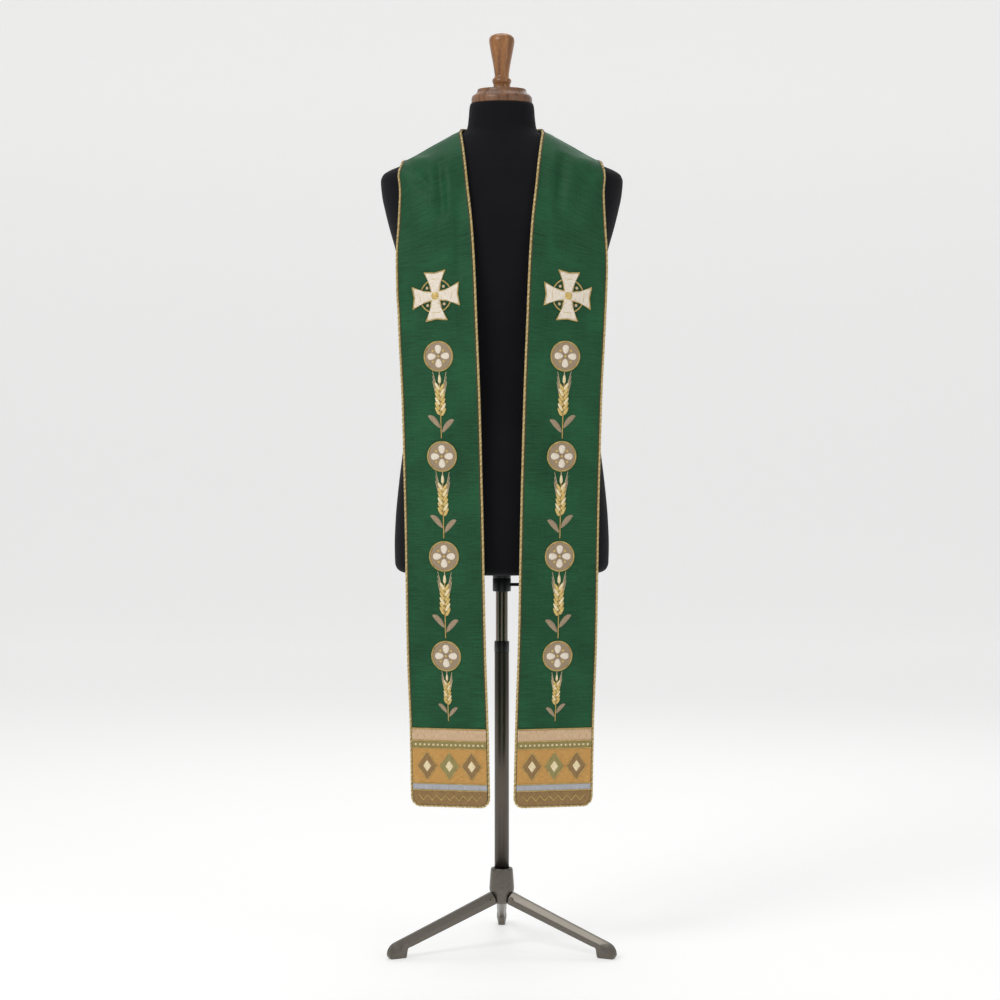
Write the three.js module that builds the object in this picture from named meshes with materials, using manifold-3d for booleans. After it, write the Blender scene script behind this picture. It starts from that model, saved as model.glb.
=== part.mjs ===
// Clerical stole worn on a dress form, standing on a telescopic pole with three cast legs.
// Millimetres, +Z up, the wearer faces -Y. The pole stands on x = 0, y = 0 until the last lines,
// which move the whole object back so that its box is centred on the origin.
import * as THREE from "three";
import { mergeVertices } from "three/addons/utils/BufferGeometryUtils.js";
import Module from "manifold-3d";

const wasm = await Module();
wasm.setup();

// ---- driving dimensions ----------------------------------------------------------------------
const seamGap = 0.3;

const clothWall = 2.0;
const clothClearance = 2.2;
const clothSoftness = 4.0;
const hemCornerRadius = 14.0;
const cordRadius = 2.25;
const appliqueWall = 1.0;

const poleTop = 824;
const innerPoleRadius = 10.75;
const innerPoleBottom = 232;
const outerPoleRadius = 13.0;
const outerPoleBottom = 90.6;
const poleRunningGap = 0.35;
const bushRadius = 13.4;
const bushBottom = 532;
const bushTop = 552;

const collarRadius = 16.4;
const collarBottom = 641;
const thumbScrewHeight = 653;
const thumbScrewRadius = 3.0;
const thumbScrewEnd = 70;
const thumbKnobRadius = 11;
const thumbKnobLength = 11;

const formBottom = 674.4;
const formBoreRadius = 11.4;
const formBoreTop = 828;
const neckTop = 1510;
const neckCapRadius = 54;
const neckCapTop = 1536;
const finialTop = 1636;

const hubTop = 143;
const legCount = 3;
const firstLegAngle = -30;
const boltHeadRadius = 3.2;
const boltHeadHeight = 2.0;

// ---- tables ----------------------------------------------------------------------------------
// A table is a list of rows; every row becomes an object with the named columns.
function table(columns, rows) {
  return rows.map((row) => Object.fromEntries(columns.map((name, i) => [name, row[i]])));
}

// The dress form by height: half width, depth in front of and behind the pole, and how square
// the section is (2 is an ellipse).
const formTable = table(["height", "halfWidth", "front", "back", "squareness"], [
  [674.4, 172.0, 84.0, 92.0, 2.3],
  [677.0, 181.0, 93.0, 101.0, 2.3],
  [683.0, 188.0, 99.0, 107.5, 2.3],
  [692.0, 191.0, 101.0, 110.5, 2.3],
  [725.0, 191.8, 102.5, 113.0, 2.3],
  [770.0, 190.0, 104.0, 116.0, 2.3],
  [830.0, 184.5, 105.0, 117.0, 2.3],
  [890.0, 177.0, 104.0, 112.5, 2.3],
  [960.0, 168.5, 100.0, 103.0, 2.3],
  [1020.0, 162.5, 97.0, 95.5, 2.3],
  [1080.0, 161.0, 98.0, 93.0, 2.3],
  [1140.0, 166.0, 104.0, 97.0, 2.35],
  [1200.0, 177.0, 112.5, 105.0, 2.4],
  [1253.0, 190.0, 117.5, 112.5, 2.4],
  [1292.0, 201.0, 117.5, 117.0, 2.4],
  [1319.0, 207.6, 114.5, 118.5, 2.4],
  [1346.0, 213.2, 109.0, 117.5, 2.35],
  [1372.0, 215.5, 101.5, 113.0, 2.3],
  [1383.0, 211.5, 97.5, 110.0, 2.25],
  [1390.0, 202.0, 95.0, 107.5, 2.2],
  [1398.0, 183.0, 91.0, 104.5, 2.2],
  [1404.0, 165.0, 88.5, 102.0, 2.2],
  [1430.0, 118.5, 76.0, 90.0, 2.1],
  [1450.0, 82.5, 66.5, 77.5, 2.0],
  [1459.0, 67.5, 62.5, 70.5, 2.0],
  [1466.0, 61.8, 60.5, 66.0, 2.0],
  [1482.0, 59.3, 58.0, 61.0, 2.0],
  [1506.0, 57.0, 56.6, 57.2, 2.0],
  [1510.0, 55.4, 55.2, 55.6, 2.0],
]);

// One half of the stole, from the seam at the nape round the neck, over the shoulder and down to
// the hem. A section runs from the neck-side edge to the shoulder-side edge of the band.
const stoleTable = table(["innerX", "innerY", "innerZ", "outerX", "outerY", "outerZ"], [
  [0.0, 73.0, 1454.0, 0.0, 119.0, 1338.0],
  [27.0, 68.0, 1461.0, 50.0, 115.0, 1359.0],
  [51.0, 49.0, 1464.5, 102.0, 95.0, 1382.0],
  [66.0, 23.0, 1462.5, 146.0, 54.0, 1397.0],
  [71.5, -3.0, 1459.0, 167.0, -4.0, 1405.5],
  [71.5, -30.0, 1451.0, 172.0, -36.0, 1397.0],
  [69.5, -58.0, 1434.0, 173.5, -60.0, 1376.0],
  [66.0, -86.0, 1402.0, 174.5, -76.0, 1345.0],
  [60.5, -108.0, 1352.0, 177.0, -82.0, 1301.0],
  [53.5, -120.0, 1290.0, 180.0, -84.0, 1252.0],
  [49.5, -124.0, 1225.0, 181.0, -86.0, 1206.0],
  [46.0, -125.5, 1130.0, 178.0, -88.0, 1120.0],
  [40.5, -125.5, 980.0, 171.5, -90.0, 976.0],
  [35.7, -125.5, 790.0, 166.8, -92.0, 788.0],
  [31.0, -125.0, 550.0, 163.0, -94.0, 550.0],
  [26.5, -125.0, 405.0, 158.0, -96.0, 405.0],
  [23.7, -125.0, 272.4, 155.7, -97.0, 272.4],
]);

// Slope of a smooth, never overshooting curve through the rows at row i.
function slopeAt(keys, values, i) {
  const rise = (k) => (values[k + 1] - values[k]) / (keys[k + 1] - keys[k]);
  if (i === 0) return rise(0);
  if (i === keys.length - 1) return rise(i - 1);
  const [before, after] = [rise(i - 1), rise(i)];
  if (before * after <= 0) return 0;
  const [gapBefore, gapAfter] = [keys[i] - keys[i - 1], keys[i + 1] - keys[i]];
  const [weightBefore, weightAfter] = [2 * gapAfter + gapBefore, gapAfter + 2 * gapBefore];
  return (weightBefore + weightAfter) / (weightBefore / before + weightAfter / after);
}

// Smooth curves through the columns of a table, read at any value of the key.
function smoothTable(keys, rows) {
  const curves = Object.keys(rows[0]).map((name) => {
    const values = rows.map((row) => row[name]);
    return { name, values, slopes: values.map((_, i) => slopeAt(keys, values, i)) };
  });
  return (key) => {
    const inside = THREE.MathUtils.clamp(key, keys[0], keys[keys.length - 1]);
    let i = 0;
    while (i < keys.length - 2 && inside > keys[i + 1]) i += 1;
    const step = keys[i + 1] - keys[i];
    const t = (inside - keys[i]) / step;
    const [t2, t3] = [t * t, t * t * t];
    return Object.fromEntries(curves.map(({ name, values, slopes }) => [name,
      values[i] * (2 * t3 - 3 * t2 + 1) + step * slopes[i] * (t3 - 2 * t2 + t) +
      values[i + 1] * (3 * t2 - 2 * t3) + step * slopes[i + 1] * (t3 - t2)]));
  };
}

// ---- solids from points ----------------------------------------------------------------------
// A closed geometry from shared points and triangles, turned so that its faces point outwards.
function closedGeometry(points, triangles) {
  const volume = triangles.reduce((sum, [a, b, c]) =>
    sum + points[a].dot(new THREE.Vector3().crossVectors(points[b], points[c])), 0);
  const outward = volume > 0 ? triangles : triangles.map(([a, b, c]) => [a, c, b]);
  const geometry = new THREE.BufferGeometry();
  geometry.setAttribute("position",
    new THREE.Float32BufferAttribute(points.flatMap((p) => [p.x, p.y, p.z]), 3));
  geometry.setIndex(outward.flat());
  geometry.computeVertexNormals();
  return geometry;
}

// A closed body through rings of equal count; both end rings are closed by a fan.
function loft(rings) {
  const count = rings[0].length;
  const points = rings.flat();
  const triangles = [];
  for (let r = 0; r < rings.length - 1; r += 1) {
    for (let i = 0; i < count; i += 1) {
      const [a, b] = [r * count + i, r * count + ((i + 1) % count)];
      triangles.push([a, b, b + count], [a, b + count, a + count]);
    }
  }
  const last = (rings.length - 1) * count;
  for (let i = 1; i < count - 1; i += 1) {
    triangles.push([0, i + 1, i], [last, last + i, last + i + 1]);
  }
  return closedGeometry(points, triangles);
}

// A cloth wall between an outer and an inner sheet, both given as rows of points.
function wall(outer, inner) {
  const [rows, columns] = [outer.length, outer[0].length];
  const points = [...outer.flat(), ...inner.flat()];
  const below = rows * columns;
  const triangles = [];
  for (let r = 0; r < rows - 1; r += 1) {
    for (let c = 0; c < columns - 1; c += 1) {
      const a = r * columns + c;
      const [b, d, e] = [a + 1, a + columns, a + columns + 1];
      triangles.push([a, b, e], [a, e, d]);
      triangles.push([below + a, below + e, below + b], [below + a, below + d, below + e]);
    }
  }
  const rim = [];
  for (let c = 0; c < columns - 1; c += 1) rim.push(c);
  for (let r = 0; r < rows - 1; r += 1) rim.push(r * columns + columns - 1);
  for (let c = columns - 1; c > 0; c -= 1) rim.push((rows - 1) * columns + c);
  for (let r = rows - 1; r > 0; r -= 1) rim.push(r * columns);
  rim.forEach((a, i) => {
    const b = rim[(i + 1) % rim.length];
    triangles.push([a, below + a, below + b], [a, below + b, b]);
  });
  return closedGeometry(points, triangles);
}

// The geometry with shared points only, as a manifold-3d solid.
function solidOf(geometry) {
  const bare = new THREE.BufferGeometry();
  bare.setAttribute("position", geometry.getAttribute("position"));
  bare.setIndex(geometry.getIndex());
  const merged = mergeVertices(bare);
  return new wasm.Manifold(new wasm.Mesh({
    numProp: 3,
    vertProperties: new Float32Array(merged.getAttribute("position").array),
    triVerts: new Uint32Array(merged.getIndex().array),
  }));
}

// What is left of one geometry when the other is cut away.
function cutAway(geometry, cutter) {
  const mesh = solidOf(geometry).subtract(solidOf(cutter)).getMesh();
  const result = new THREE.BufferGeometry();
  result.setAttribute("position", new THREE.Float32BufferAttribute(mesh.vertProperties, 3));
  result.setIndex([...mesh.triVerts]);
  result.computeVertexNormals();
  return result;
}

// A turned piece about the Z axis from pairs of radius and height, closed at both ends.
function turned(profile, sides) {
  const points = profile.map(([radius, height]) => new THREE.Vector2(radius, height));
  return new THREE.LatheGeometry(points, sides).rotateX(Math.PI / 2);
}

// ---- the dress form --------------------------------------------------------------------------
const formAt = smoothTable(formTable.map((row) => row.height), formTable);

// How far a point is outside the form's skin, as a ratio of its section, at its own height.
function outsideForm(point) {
  const section = formAt(point.z);
  const depth = point.y < 0 ? section.front : section.back;
  const n = section.squareness;
  const x = Math.abs(point.x) / section.halfWidth;
  const y = Math.abs(point.y) / depth;
  return (x ** n + y ** n) ** (1 / n) - 1;
}

// Distance from the form's skin and the direction away from it.
function formDistance(point) {
  const probe = 0.5;
  const slope = new THREE.Vector3();
  for (const axis of ["x", "y", "z"]) {
    const [ahead, behind] = [point.clone(), point.clone()];
    ahead[axis] += probe;
    behind[axis] -= probe;
    slope[axis] = (outsideForm(ahead) - outsideForm(behind)) / (2 * probe);
  }
  const steepness = slope.length();
  return { distance: outsideForm(point) / steepness, away: slope.divideScalar(steepness) };
}

// The point itself where it is well clear of the form, or moved out to lie just clear of it.
function clearOfForm(point) {
  const spare = formDistance(point).distance - clothClearance;
  const wanted = clothClearance + (spare + Math.hypot(spare, clothSoftness)) / 2;
  const moved = point.clone();
  for (let pass = 0; pass < 4; pass += 1) {
    const { distance, away } = formDistance(moved);
    moved.addScaledVector(away, wanted - distance);
  }
  return moved;
}

// One point on the skin at a height and a turn about the pole.
function formPoint(height, turn) {
  const section = formAt(height);
  const power = 2 / section.squareness;
  const [c, s] = [Math.cos(turn), Math.sin(turn)];
  const depth = s < 0 ? section.front : section.back;
  return new THREE.Vector3(
    section.halfWidth * Math.sign(c) * Math.abs(c) ** power,
    depth * Math.sign(s) * Math.abs(s) ** power,
    height);
}

// Foam form under a knitted cover, with a bore for the pole in its base.
function formBody() {
  const sides = 44;
  const between = 3;
  const turns = Array.from({ length: sides }, (_, i) => (i / sides) * 2 * Math.PI);
  const boreRing = (height) => turns.map((turn) => new THREE.Vector3(
    formBoreRadius * Math.cos(turn), formBoreRadius * Math.sin(turn), height));
  const heights = formTable.map((row) => row.height);
  const bigSteps = heights.flatMap((height, i) =>
    heights[i + 1] - height > 40 ? [height, (height + heights[i + 1]) / 2] : [height]);
  const rings = [boreRing(formBoreTop), boreRing(formBottom + between), boreRing(formBottom)];
  bigSteps.forEach((height) => rings.push(turns.map((turn) => formPoint(height, turn))));
  return loft(rings);
}

// ---- the stole -------------------------------------------------------------------------------
const middles = stoleTable.map((row) => new THREE.Vector3(
  (row.innerX + row.outerX) / 2, (row.innerY + row.outerY) / 2, (row.innerZ + row.outerZ) / 2));
const downKeys = middles.reduce((keys, middle, i) =>
  (i === 0 ? [0] : [...keys, keys[i - 1] + middle.distanceTo(middles[i - 1])]), []);
const stoleLength = downKeys[downKeys.length - 1];
const stoleAt = smoothTable(downKeys, stoleTable);

const edgesAt = (down) => {
  const row = stoleAt(down);
  return [
    new THREE.Vector3(row.innerX, row.innerY, row.innerZ),
    new THREE.Vector3(row.outerX, row.outerY, row.outerZ),
  ];
};
const widthAt = (down) => {
  const [inner, outer] = edgesAt(down);
  return inner.distanceTo(outer);
};

// The inner face of the cloth: down from the nape seam, across in mm from the middle of the band.
// Past the hem it carries straight on.
function clothFace(down, across) {
  const inside = Math.min(down, stoleLength);
  const [inner, outer] = edgesAt(inside);
  const share = 0.5 + across / inner.distanceTo(outer);
  const point = clearOfForm(inner.lerp(outer, share));
  point.z -= down - inside;
  return point;
}

// A point lifted off the inner face, on the half at the given side (+1 or -1).
function clothPoint(side, down, across, lift) {
  const step = 1.0;
  const acrossWay = clothFace(down, across + step).sub(clothFace(down, across - step));
  const downWay = down < step
    ? new THREE.Vector3(1, 0, 0)
    : clothFace(down + step, across).sub(clothFace(down - step, across));
  const normal = new THREE.Vector3().crossVectors(acrossWay, downWay).normalize();
  const point = clothFace(down, across).addScaledVector(normal, -lift);
  const onSeam = down < step;
  point.x = onSeam ? seamGap / 2 : Math.max(point.x, seamGap / 2);
  point.x *= side;
  return point;
}

// Where the sections of the cloth lie: close together over the shoulder, wide apart below it,
// and then round the hem's corners, where the band grows narrower by an inset.
const shoulderLength = 480;
const shoulderRows = 24;
const hangingRows = 11;
const cornerRows = 4;
const straightRows = [
  ...Array.from({ length: shoulderRows }, (_, i) => (i / shoulderRows) * shoulderLength),
  ...Array.from({ length: hangingRows }, (_, i) => shoulderLength +
    (i / hangingRows) * (stoleLength - hemCornerRadius - shoulderLength)),
].map((down) => ({ down, inset: 0 }));
const cornerSections = Array.from({ length: cornerRows + 1 }, (_, i) => {
  const turn = (i / cornerRows) * (Math.PI / 2);
  return {
    down: stoleLength - hemCornerRadius * (1 - Math.sin(turn)),
    inset: hemCornerRadius * (1 - Math.cos(turn)),
  };
});

// A piece of cloth between two lifts over the given sections, in equal steps across.
function clothPiece(side, sections, margin, lift, thickness, steps) {
  const face = (height) => sections.map(({ down, inset }) => {
    const half = widthAt(Math.min(down, stoleLength)) / 2 - inset - margin;
    return Array.from({ length: steps + 1 }, (_, c) =>
      clothPoint(side, down, half * ((2 * c) / steps - 1), height));
  });
  return wall(face(lift + thickness), face(lift));
}

const stoleHalf = (side) =>
  clothPiece(side, [...straightRows, ...cornerSections], 0, 0, clothWall, 8);

// Twisted cord sewn round both edges and the hem, from the nape seam back to the nape seam.
function edgeCord(side) {
  const reach = cordRadius + seamGap;
  const sides = 6;
  const outside = hemCornerRadius + reach;
  const corner = Array.from({ length: cornerRows + 1 }, (_, i) => {
    const turn = (i / cornerRows) * (Math.PI / 2);
    return {
      down: stoleLength - hemCornerRadius + outside * Math.sin(turn),
      beyond: outside * Math.cos(turn) - hemCornerRadius,
      turn,
    };
  });
  const route = [...straightRows.map(({ down }) => ({ down, beyond: reach, turn: 0 })), ...corner];
  const rings = [];
  const addRing = ({ down, beyond, turn }, edge) => {
    const half = widthAt(Math.min(down, stoleLength)) / 2;
    const ring = Array.from({ length: sides }, (_, i) => {
      const angle = (i / sides) * 2 * Math.PI * edge;
      const out = cordRadius * Math.cos(angle);
      const across = edge * (half + beyond + out * Math.cos(turn));
      const lift = clothWall / 2 + cordRadius * Math.sin(angle) * edge;
      return clothPoint(side, down + out * Math.sin(turn), across, lift);
    });
    rings.push(ring);
  };
  route.forEach((place) => addRing(place, 1));
  [...route].reverse().forEach((place) => addRing(place, -1));
  return loft(rings);
}

// The hem's appliqué bands, by distance above the hem.
const hemBands = table(["name", "from", "to", "colour"], [
  ["brown", 0, 26, 0x8c6b3c],
  ["blue", 26, 38, 0xa6a4a8],
  ["ochre", 38, 100, 0xbf8f45],
  ["olive", 100, 113, 0x8f7f47],
  ["rose", 113, 134, 0xc3a27c],
]);

// One band follows the cloth's outer face, and the lowest one its rounded corners.
function hemBand(side, { from, to }) {
  const margin = 0.6;
  const bottom = from + seamGap / 2;
  const top = to - seamGap / 2;
  const straight = [top, Math.max(bottom, hemCornerRadius)].map((above) => ({
    down: stoleLength - above, inset: 0 }));
  const rounded = from > 0 ? [] : cornerSections.slice(1).map(({ down, inset }, i) => ({
    down: down - (i === cornerRows - 1 ? margin : 0), inset }));
  return clothPiece(side, [...straight, ...rounded], margin,
    clothWall + seamGap, appliqueWall, 6);
}

// A flat outline, across and up in mm about its centre, laid on the cloth at a height over the hem.
function laidOn(side, shape, aboveHem, lift) {
  const flat = new THREE.ExtrudeGeometry(shape, { depth: appliqueWall, bevelEnabled: false });
  flat.deleteAttribute("normal");
  flat.deleteAttribute("uv");
  const welded = mergeVertices(flat);
  const place = welded.getAttribute("position");
  const points = Array.from({ length: place.count }, (_, i) => clothPoint(
    side, stoleLength - aboveHem - place.getY(i), place.getX(i), lift + place.getZ(i)));
  const index = welded.getIndex();
  const triangles = Array.from({ length: index.count / 3 }, (_, i) =>
    [index.getX(3 * i), index.getX(3 * i + 1), index.getX(3 * i + 2)]);
  return closedGeometry(points, triangles);
}

// Equal-armed cross whose arms widen outwards.
const crossReach = 42;
const crossEndHalf = 19;
const crossWaistHalf = 7.5;
const crossAboveHem = 893;
function crossShape() {
  const shape = new THREE.Shape();
  for (let arm = 0; arm < 4; arm += 1) {
    const turn = (arm * Math.PI) / 2;
    const corner = (out, side) => new THREE.Vector2(out, side).rotateAround(
      new THREE.Vector2(), turn);
    const points = [
      corner(crossWaistHalf, -crossWaistHalf),
      corner(crossReach * 0.62, -crossWaistHalf * 1.45),
      corner(crossReach, -crossEndHalf),
      corner(crossReach * 0.93, 0),
      corner(crossReach, crossEndHalf),
      corner(crossReach * 0.62, crossWaistHalf * 1.45),
    ];
    points.forEach((p, i) => (arm + i === 0 ? shape.moveTo(p.x, p.y) : shape.lineTo(p.x, p.y)));
  }
  shape.closePath();
  return shape;
}

// Round medallion.
const medallionRadius = 25;
const medallionSides = 20;
const medallionHeights = [788, 613, 438, 263];
function medallionShape() {
  const shape = new THREE.Shape();
  for (let i = 0; i < medallionSides; i += 1) {
    const turn = (i / medallionSides) * 2 * Math.PI;
    const [x, y] = [medallionRadius * Math.cos(turn), medallionRadius * Math.sin(turn)];
    if (i === 0) shape.moveTo(x, y);
    else shape.lineTo(x, y);
  }
  shape.closePath();
  return shape;
}

// Lozenge sewn on the ochre band.
const lozengeHalfWidth = 17;
const lozengeHalfHeight = 24;
const lozengePitch = 40;
const lozengeAboveHem = 69;
function lozengeShape(middle) {
  const shape = new THREE.Shape();
  shape.moveTo(middle + lozengeHalfWidth, 0);
  shape.lineTo(middle, lozengeHalfHeight);
  shape.lineTo(middle - lozengeHalfWidth, 0);
  shape.lineTo(middle, -lozengeHalfHeight);
  shape.closePath();
  return shape;
}

// ---- neck cap, finial, collar and poles ------------------------------------------------------
const neckCap = () => turned([
  [0, neckTop + seamGap], [neckCapRadius - 1, neckTop + seamGap], [neckCapRadius, neckTop + 1.4],
  [neckCapRadius, 1519.5], [52.6, 1523.4], [47.6, 1527.2], [44.0, 1530.4], [43.2, neckCapTop - 1],
  [42.2, neckCapTop], [0, neckCapTop],
], 40);

const finial = () => turned([
  [0, neckCapTop + seamGap], [15.4, neckCapTop + seamGap], [14.8, 1541], [15.0, 1544.5],
  [16.6, 1547.6], [17.2, 1551], [16.4, 1554], [13.4, 1556.4], [12.6, 1560], [13.4, 1567],
  [15.4, 1580], [18.2, 1594], [20.6, 1607], [22.7, 1619], [23.0, 1623.5], [21.2, 1628.6],
  [16.0, 1632.8], [8.0, 1635.3], [0, finialTop],
], 28);

const thumbScrewShaft = (radius, from, to) =>
  new THREE.CylinderGeometry(radius, radius, to - from, 16)
    .rotateZ(-Math.PI / 2)
    .translate((from + to) / 2, 0, thumbScrewHeight);

function collar() {
  const bore = innerPoleRadius + poleRunningGap;
  const top = formBottom - seamGap;
  const ring = turned([
    [bore, collarBottom], [collarRadius - 1, collarBottom], [collarRadius, collarBottom + 1],
    [collarRadius, top], [bore, top], [bore, collarBottom],
  ], 32);
  return cutAway(ring, thumbScrewShaft(thumbScrewRadius + seamGap, 0, collarRadius + 5));
}

function thumbScrew() {
  const tip = innerPoleRadius + poleRunningGap;
  const knobStart = thumbScrewEnd - thumbKnobLength;
  const r = thumbScrewRadius;
  return turned([
    [0, tip], [r, tip], [r, knobStart], [thumbKnobRadius - 2, knobStart],
    [thumbKnobRadius, knobStart + 2], [thumbKnobRadius, thumbScrewEnd - 2],
    [thumbKnobRadius - 2, thumbScrewEnd], [0, thumbScrewEnd],
  ], 16).rotateY(Math.PI / 2).translate(0, 0, thumbScrewHeight);
}

const innerPole = () => turned([
  [0, innerPoleBottom], [innerPoleRadius, innerPoleBottom], [innerPoleRadius, poleTop],
  [0, poleTop],
], 24);

const tube = (radius, bottom, top) => turned([
  [innerPoleRadius + poleRunningGap, bottom], [radius, bottom], [radius, top],
  [innerPoleRadius + poleRunningGap, top], [innerPoleRadius + poleRunningGap, bottom],
], 28);

// ---- tripod ----------------------------------------------------------------------------------
const hub = () => turned([
  [0, 77.5], [11.8, 77.5], [13.0, 79], [21.4, 98], [22.4, 104], [21.0, 126], [19.9, 139.5],
  [18.4, hubTop], [outerPoleRadius + 1.2, hubTop], [outerPoleRadius + seamGap, 139],
  [outerPoleRadius + seamGap, 90], [0, 90],
], 32);

// Cast leg by slanted sections, each from a point on its top edge to one on its bottom edge.
const legTable = table(["topOut", "topUp", "bottomOut", "bottomUp", "ridge", "edge"], [
  [23.6, 100.0, 14.4, 78.6, 10.5, 5.0],
  [40.0, 93.8, 30.0, 73.0, 10.0, 4.6],
  [120.0, 64.0, 106.0, 46.3, 9.2, 4.2],
  [200.0, 34.6, 182.0, 19.8, 8.6, 4.0],
  [213.0, 29.8, 193.0, 16.0, 8.8, 4.4],
  [220.0, 26.6, 196.0, 3.0, 9.0, 5.0],
  [225.0, 22.6, 199.0, 0.0, 9.0, 6.0],
  [230.0, 15.0, 214.0, 0.0, 8.4, 6.0],
  [232.0, 7.5, 227.0, 0.0, 6.0, 4.5],
]);

function leg(turn) {
  const rings = legTable.map(({ topOut, topUp, bottomOut, bottomUp, ridge, edge }) => {
    const at = (share, side) => new THREE.Vector3(
      topOut + (bottomOut - topOut) * share, side, topUp + (bottomUp - topUp) * share);
    return [at(0, -edge * 0.8), at(0.46, -ridge), at(1, -edge),
      at(1, edge), at(0.46, ridge), at(0, edge * 0.8)];
  });
  return loft(rings).rotateZ(turn);
}

// Head of the bolt that crosses the root of a leg.
const legBolt = (turn, side) =>
  new THREE.CylinderGeometry(boltHeadRadius, boltHeadRadius, boltHeadHeight, 16)
    .translate(26, side * (10.5 + seamGap + boltHeadHeight / 2), 0)
    .rotateZ(turn)
    .translate(0, 0, 90);

// ---- the object ------------------------------------------------------------------------------
const material = (color, roughness, metalness = 0) =>
  new THREE.MeshStandardMaterial({ color, roughness, metalness });
const silk = material(0x245a40, 0.55);
const gilt = material(0xd9c07c, 0.5);
const cream = material(0xeadfce, 0.7);
const taupe = material(0x9a8468, 0.7);
const umber = material(0x6e5430, 0.7);
const jersey = material(0x15161b, 0.9);
const walnut = material(0x6b4228, 0.4);
const turnedWood = material(0x9a6234, 0.25);
const blackMetal = material(0x0e0e10, 0.45, 0.4);
const polishedSteel = material(0x5f5850, 0.25, 1);
const gunmetal = material(0x57534e, 0.4, 0.9);
const blackPlastic = material(0x1a1a1b, 0.5);

const object = new THREE.Group();
function add(name, geometry, finish) {
  const mesh = new THREE.Mesh(geometry, finish);
  mesh.name = name;
  object.add(mesh);
}

for (const [label, side] of [["left", -1], ["right", 1]]) {
  add(`stole_${label}`, stoleHalf(side), silk);
  add(`edge_cord_${label}`, edgeCord(side), gilt);
  hemBands.forEach((band) =>
    add(`hem_band_${band.name}_${label}`, hemBand(side, band), material(band.colour, 0.7)));
  [-1, 0, 1].forEach((place, i) => add(`lozenge_${i + 1}_${label}`,
    laidOn(side, lozengeShape(place * lozengePitch), lozengeAboveHem,
      clothWall + appliqueWall + 2 * seamGap), umber));
  add(`cross_${label}`, laidOn(side, crossShape(), crossAboveHem, clothWall + seamGap), cream);
  medallionHeights.forEach((aboveHem, i) => add(`medallion_${i + 1}_${label}`,
    laidOn(side, medallionShape(), aboveHem, clothWall + seamGap), taupe));
}

add("form_body", formBody(), jersey);
add("neck_cap", neckCap(), walnut);
add("finial", finial(), turnedWood);
add("collar", collar(), blackMetal);
add("thumb_screw", thumbScrew(), blackMetal);
add("inner_pole", innerPole(), polishedSteel);
add("pole_bush", tube(bushRadius, bushBottom, bushTop), blackPlastic);
add("outer_pole", tube(outerPoleRadius, outerPoleBottom, bushBottom - seamGap), gunmetal);
add("hub", hub(), gunmetal);
for (let i = 0; i < legCount; i += 1) {
  const turn = THREE.MathUtils.degToRad(firstLegAngle + (i * 360) / legCount);
  add(`leg_${i + 1}`, leg(turn), gunmetal);
  add(`leg_bolt_${i + 1}`, legBolt(turn, i === 2 ? 1 : -1), polishedSteel);
}

const box = new THREE.Box3().setFromObject(object);
object.position.set(0, -(box.min.y + box.max.y) / 2, 0);
const group = new THREE.Group();
group.add(object);

export default group;
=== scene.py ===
import math

import bpy
import numpy as np
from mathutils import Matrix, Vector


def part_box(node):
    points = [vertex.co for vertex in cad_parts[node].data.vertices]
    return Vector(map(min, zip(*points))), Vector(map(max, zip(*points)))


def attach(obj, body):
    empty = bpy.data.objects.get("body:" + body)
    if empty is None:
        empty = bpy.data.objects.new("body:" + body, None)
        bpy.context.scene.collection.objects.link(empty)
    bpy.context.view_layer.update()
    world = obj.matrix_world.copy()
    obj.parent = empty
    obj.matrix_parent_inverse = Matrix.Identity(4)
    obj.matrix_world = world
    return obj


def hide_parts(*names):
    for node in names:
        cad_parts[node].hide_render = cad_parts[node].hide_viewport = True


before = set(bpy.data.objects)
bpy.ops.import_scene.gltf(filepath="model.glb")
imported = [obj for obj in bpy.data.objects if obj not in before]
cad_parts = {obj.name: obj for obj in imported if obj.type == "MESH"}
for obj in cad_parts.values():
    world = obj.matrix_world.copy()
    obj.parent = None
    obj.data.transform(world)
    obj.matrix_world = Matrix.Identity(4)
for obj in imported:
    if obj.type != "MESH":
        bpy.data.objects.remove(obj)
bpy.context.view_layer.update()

# ---- camera, studio and floor ----
# The object stands on a pale seamless sweep of paper, seen square on from waist height.
scene = bpy.context.scene
scene.view_settings.view_transform = "Standard"
MM = 0.001
pole_low, pole_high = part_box("outer_pole")
POLE_Y = (pole_low.y + pole_high.y) / 2
CAMERA_BACK = 4.95
CAMERA_HEIGHT = 1.0
AIM = (-0.0032, POLE_Y, 0.8045)
FRAME_SPAN = 1.79


def linear(code):
    """An sRGB hex value as a linear colour with alpha."""
    parts = [int(code[i:i + 2], 16) / 255 for i in (1, 3, 5)]
    return [c / 12.92 if c <= 0.04045 else ((c + 0.055) / 1.055) ** 2.4 for c in parts] + [1.0]


def node(tree, kind, inputs=None, **settings):
    """Adds a node, sets its properties and fills its sockets with values or links."""
    made = tree.nodes.new(kind)
    for key, value in settings.items():
        setattr(made, key, value)
    for key, value in (inputs or {}).items():
        if isinstance(value, bpy.types.NodeSocket):
            tree.links.new(value, made.inputs[key])
        else:
            made.inputs[key].default_value = value
    return made


def surface(name, **sockets):
    """A new material with one Principled shader; returns the material, its tree and shader."""
    made = bpy.data.materials.new(name)
    made.use_nodes = True
    shader = made.node_tree.nodes["Principled BSDF"]
    for key, value in sockets.items():
        shader.inputs[key.replace("_", " ")].default_value = value
    return made, made.node_tree, shader


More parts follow.
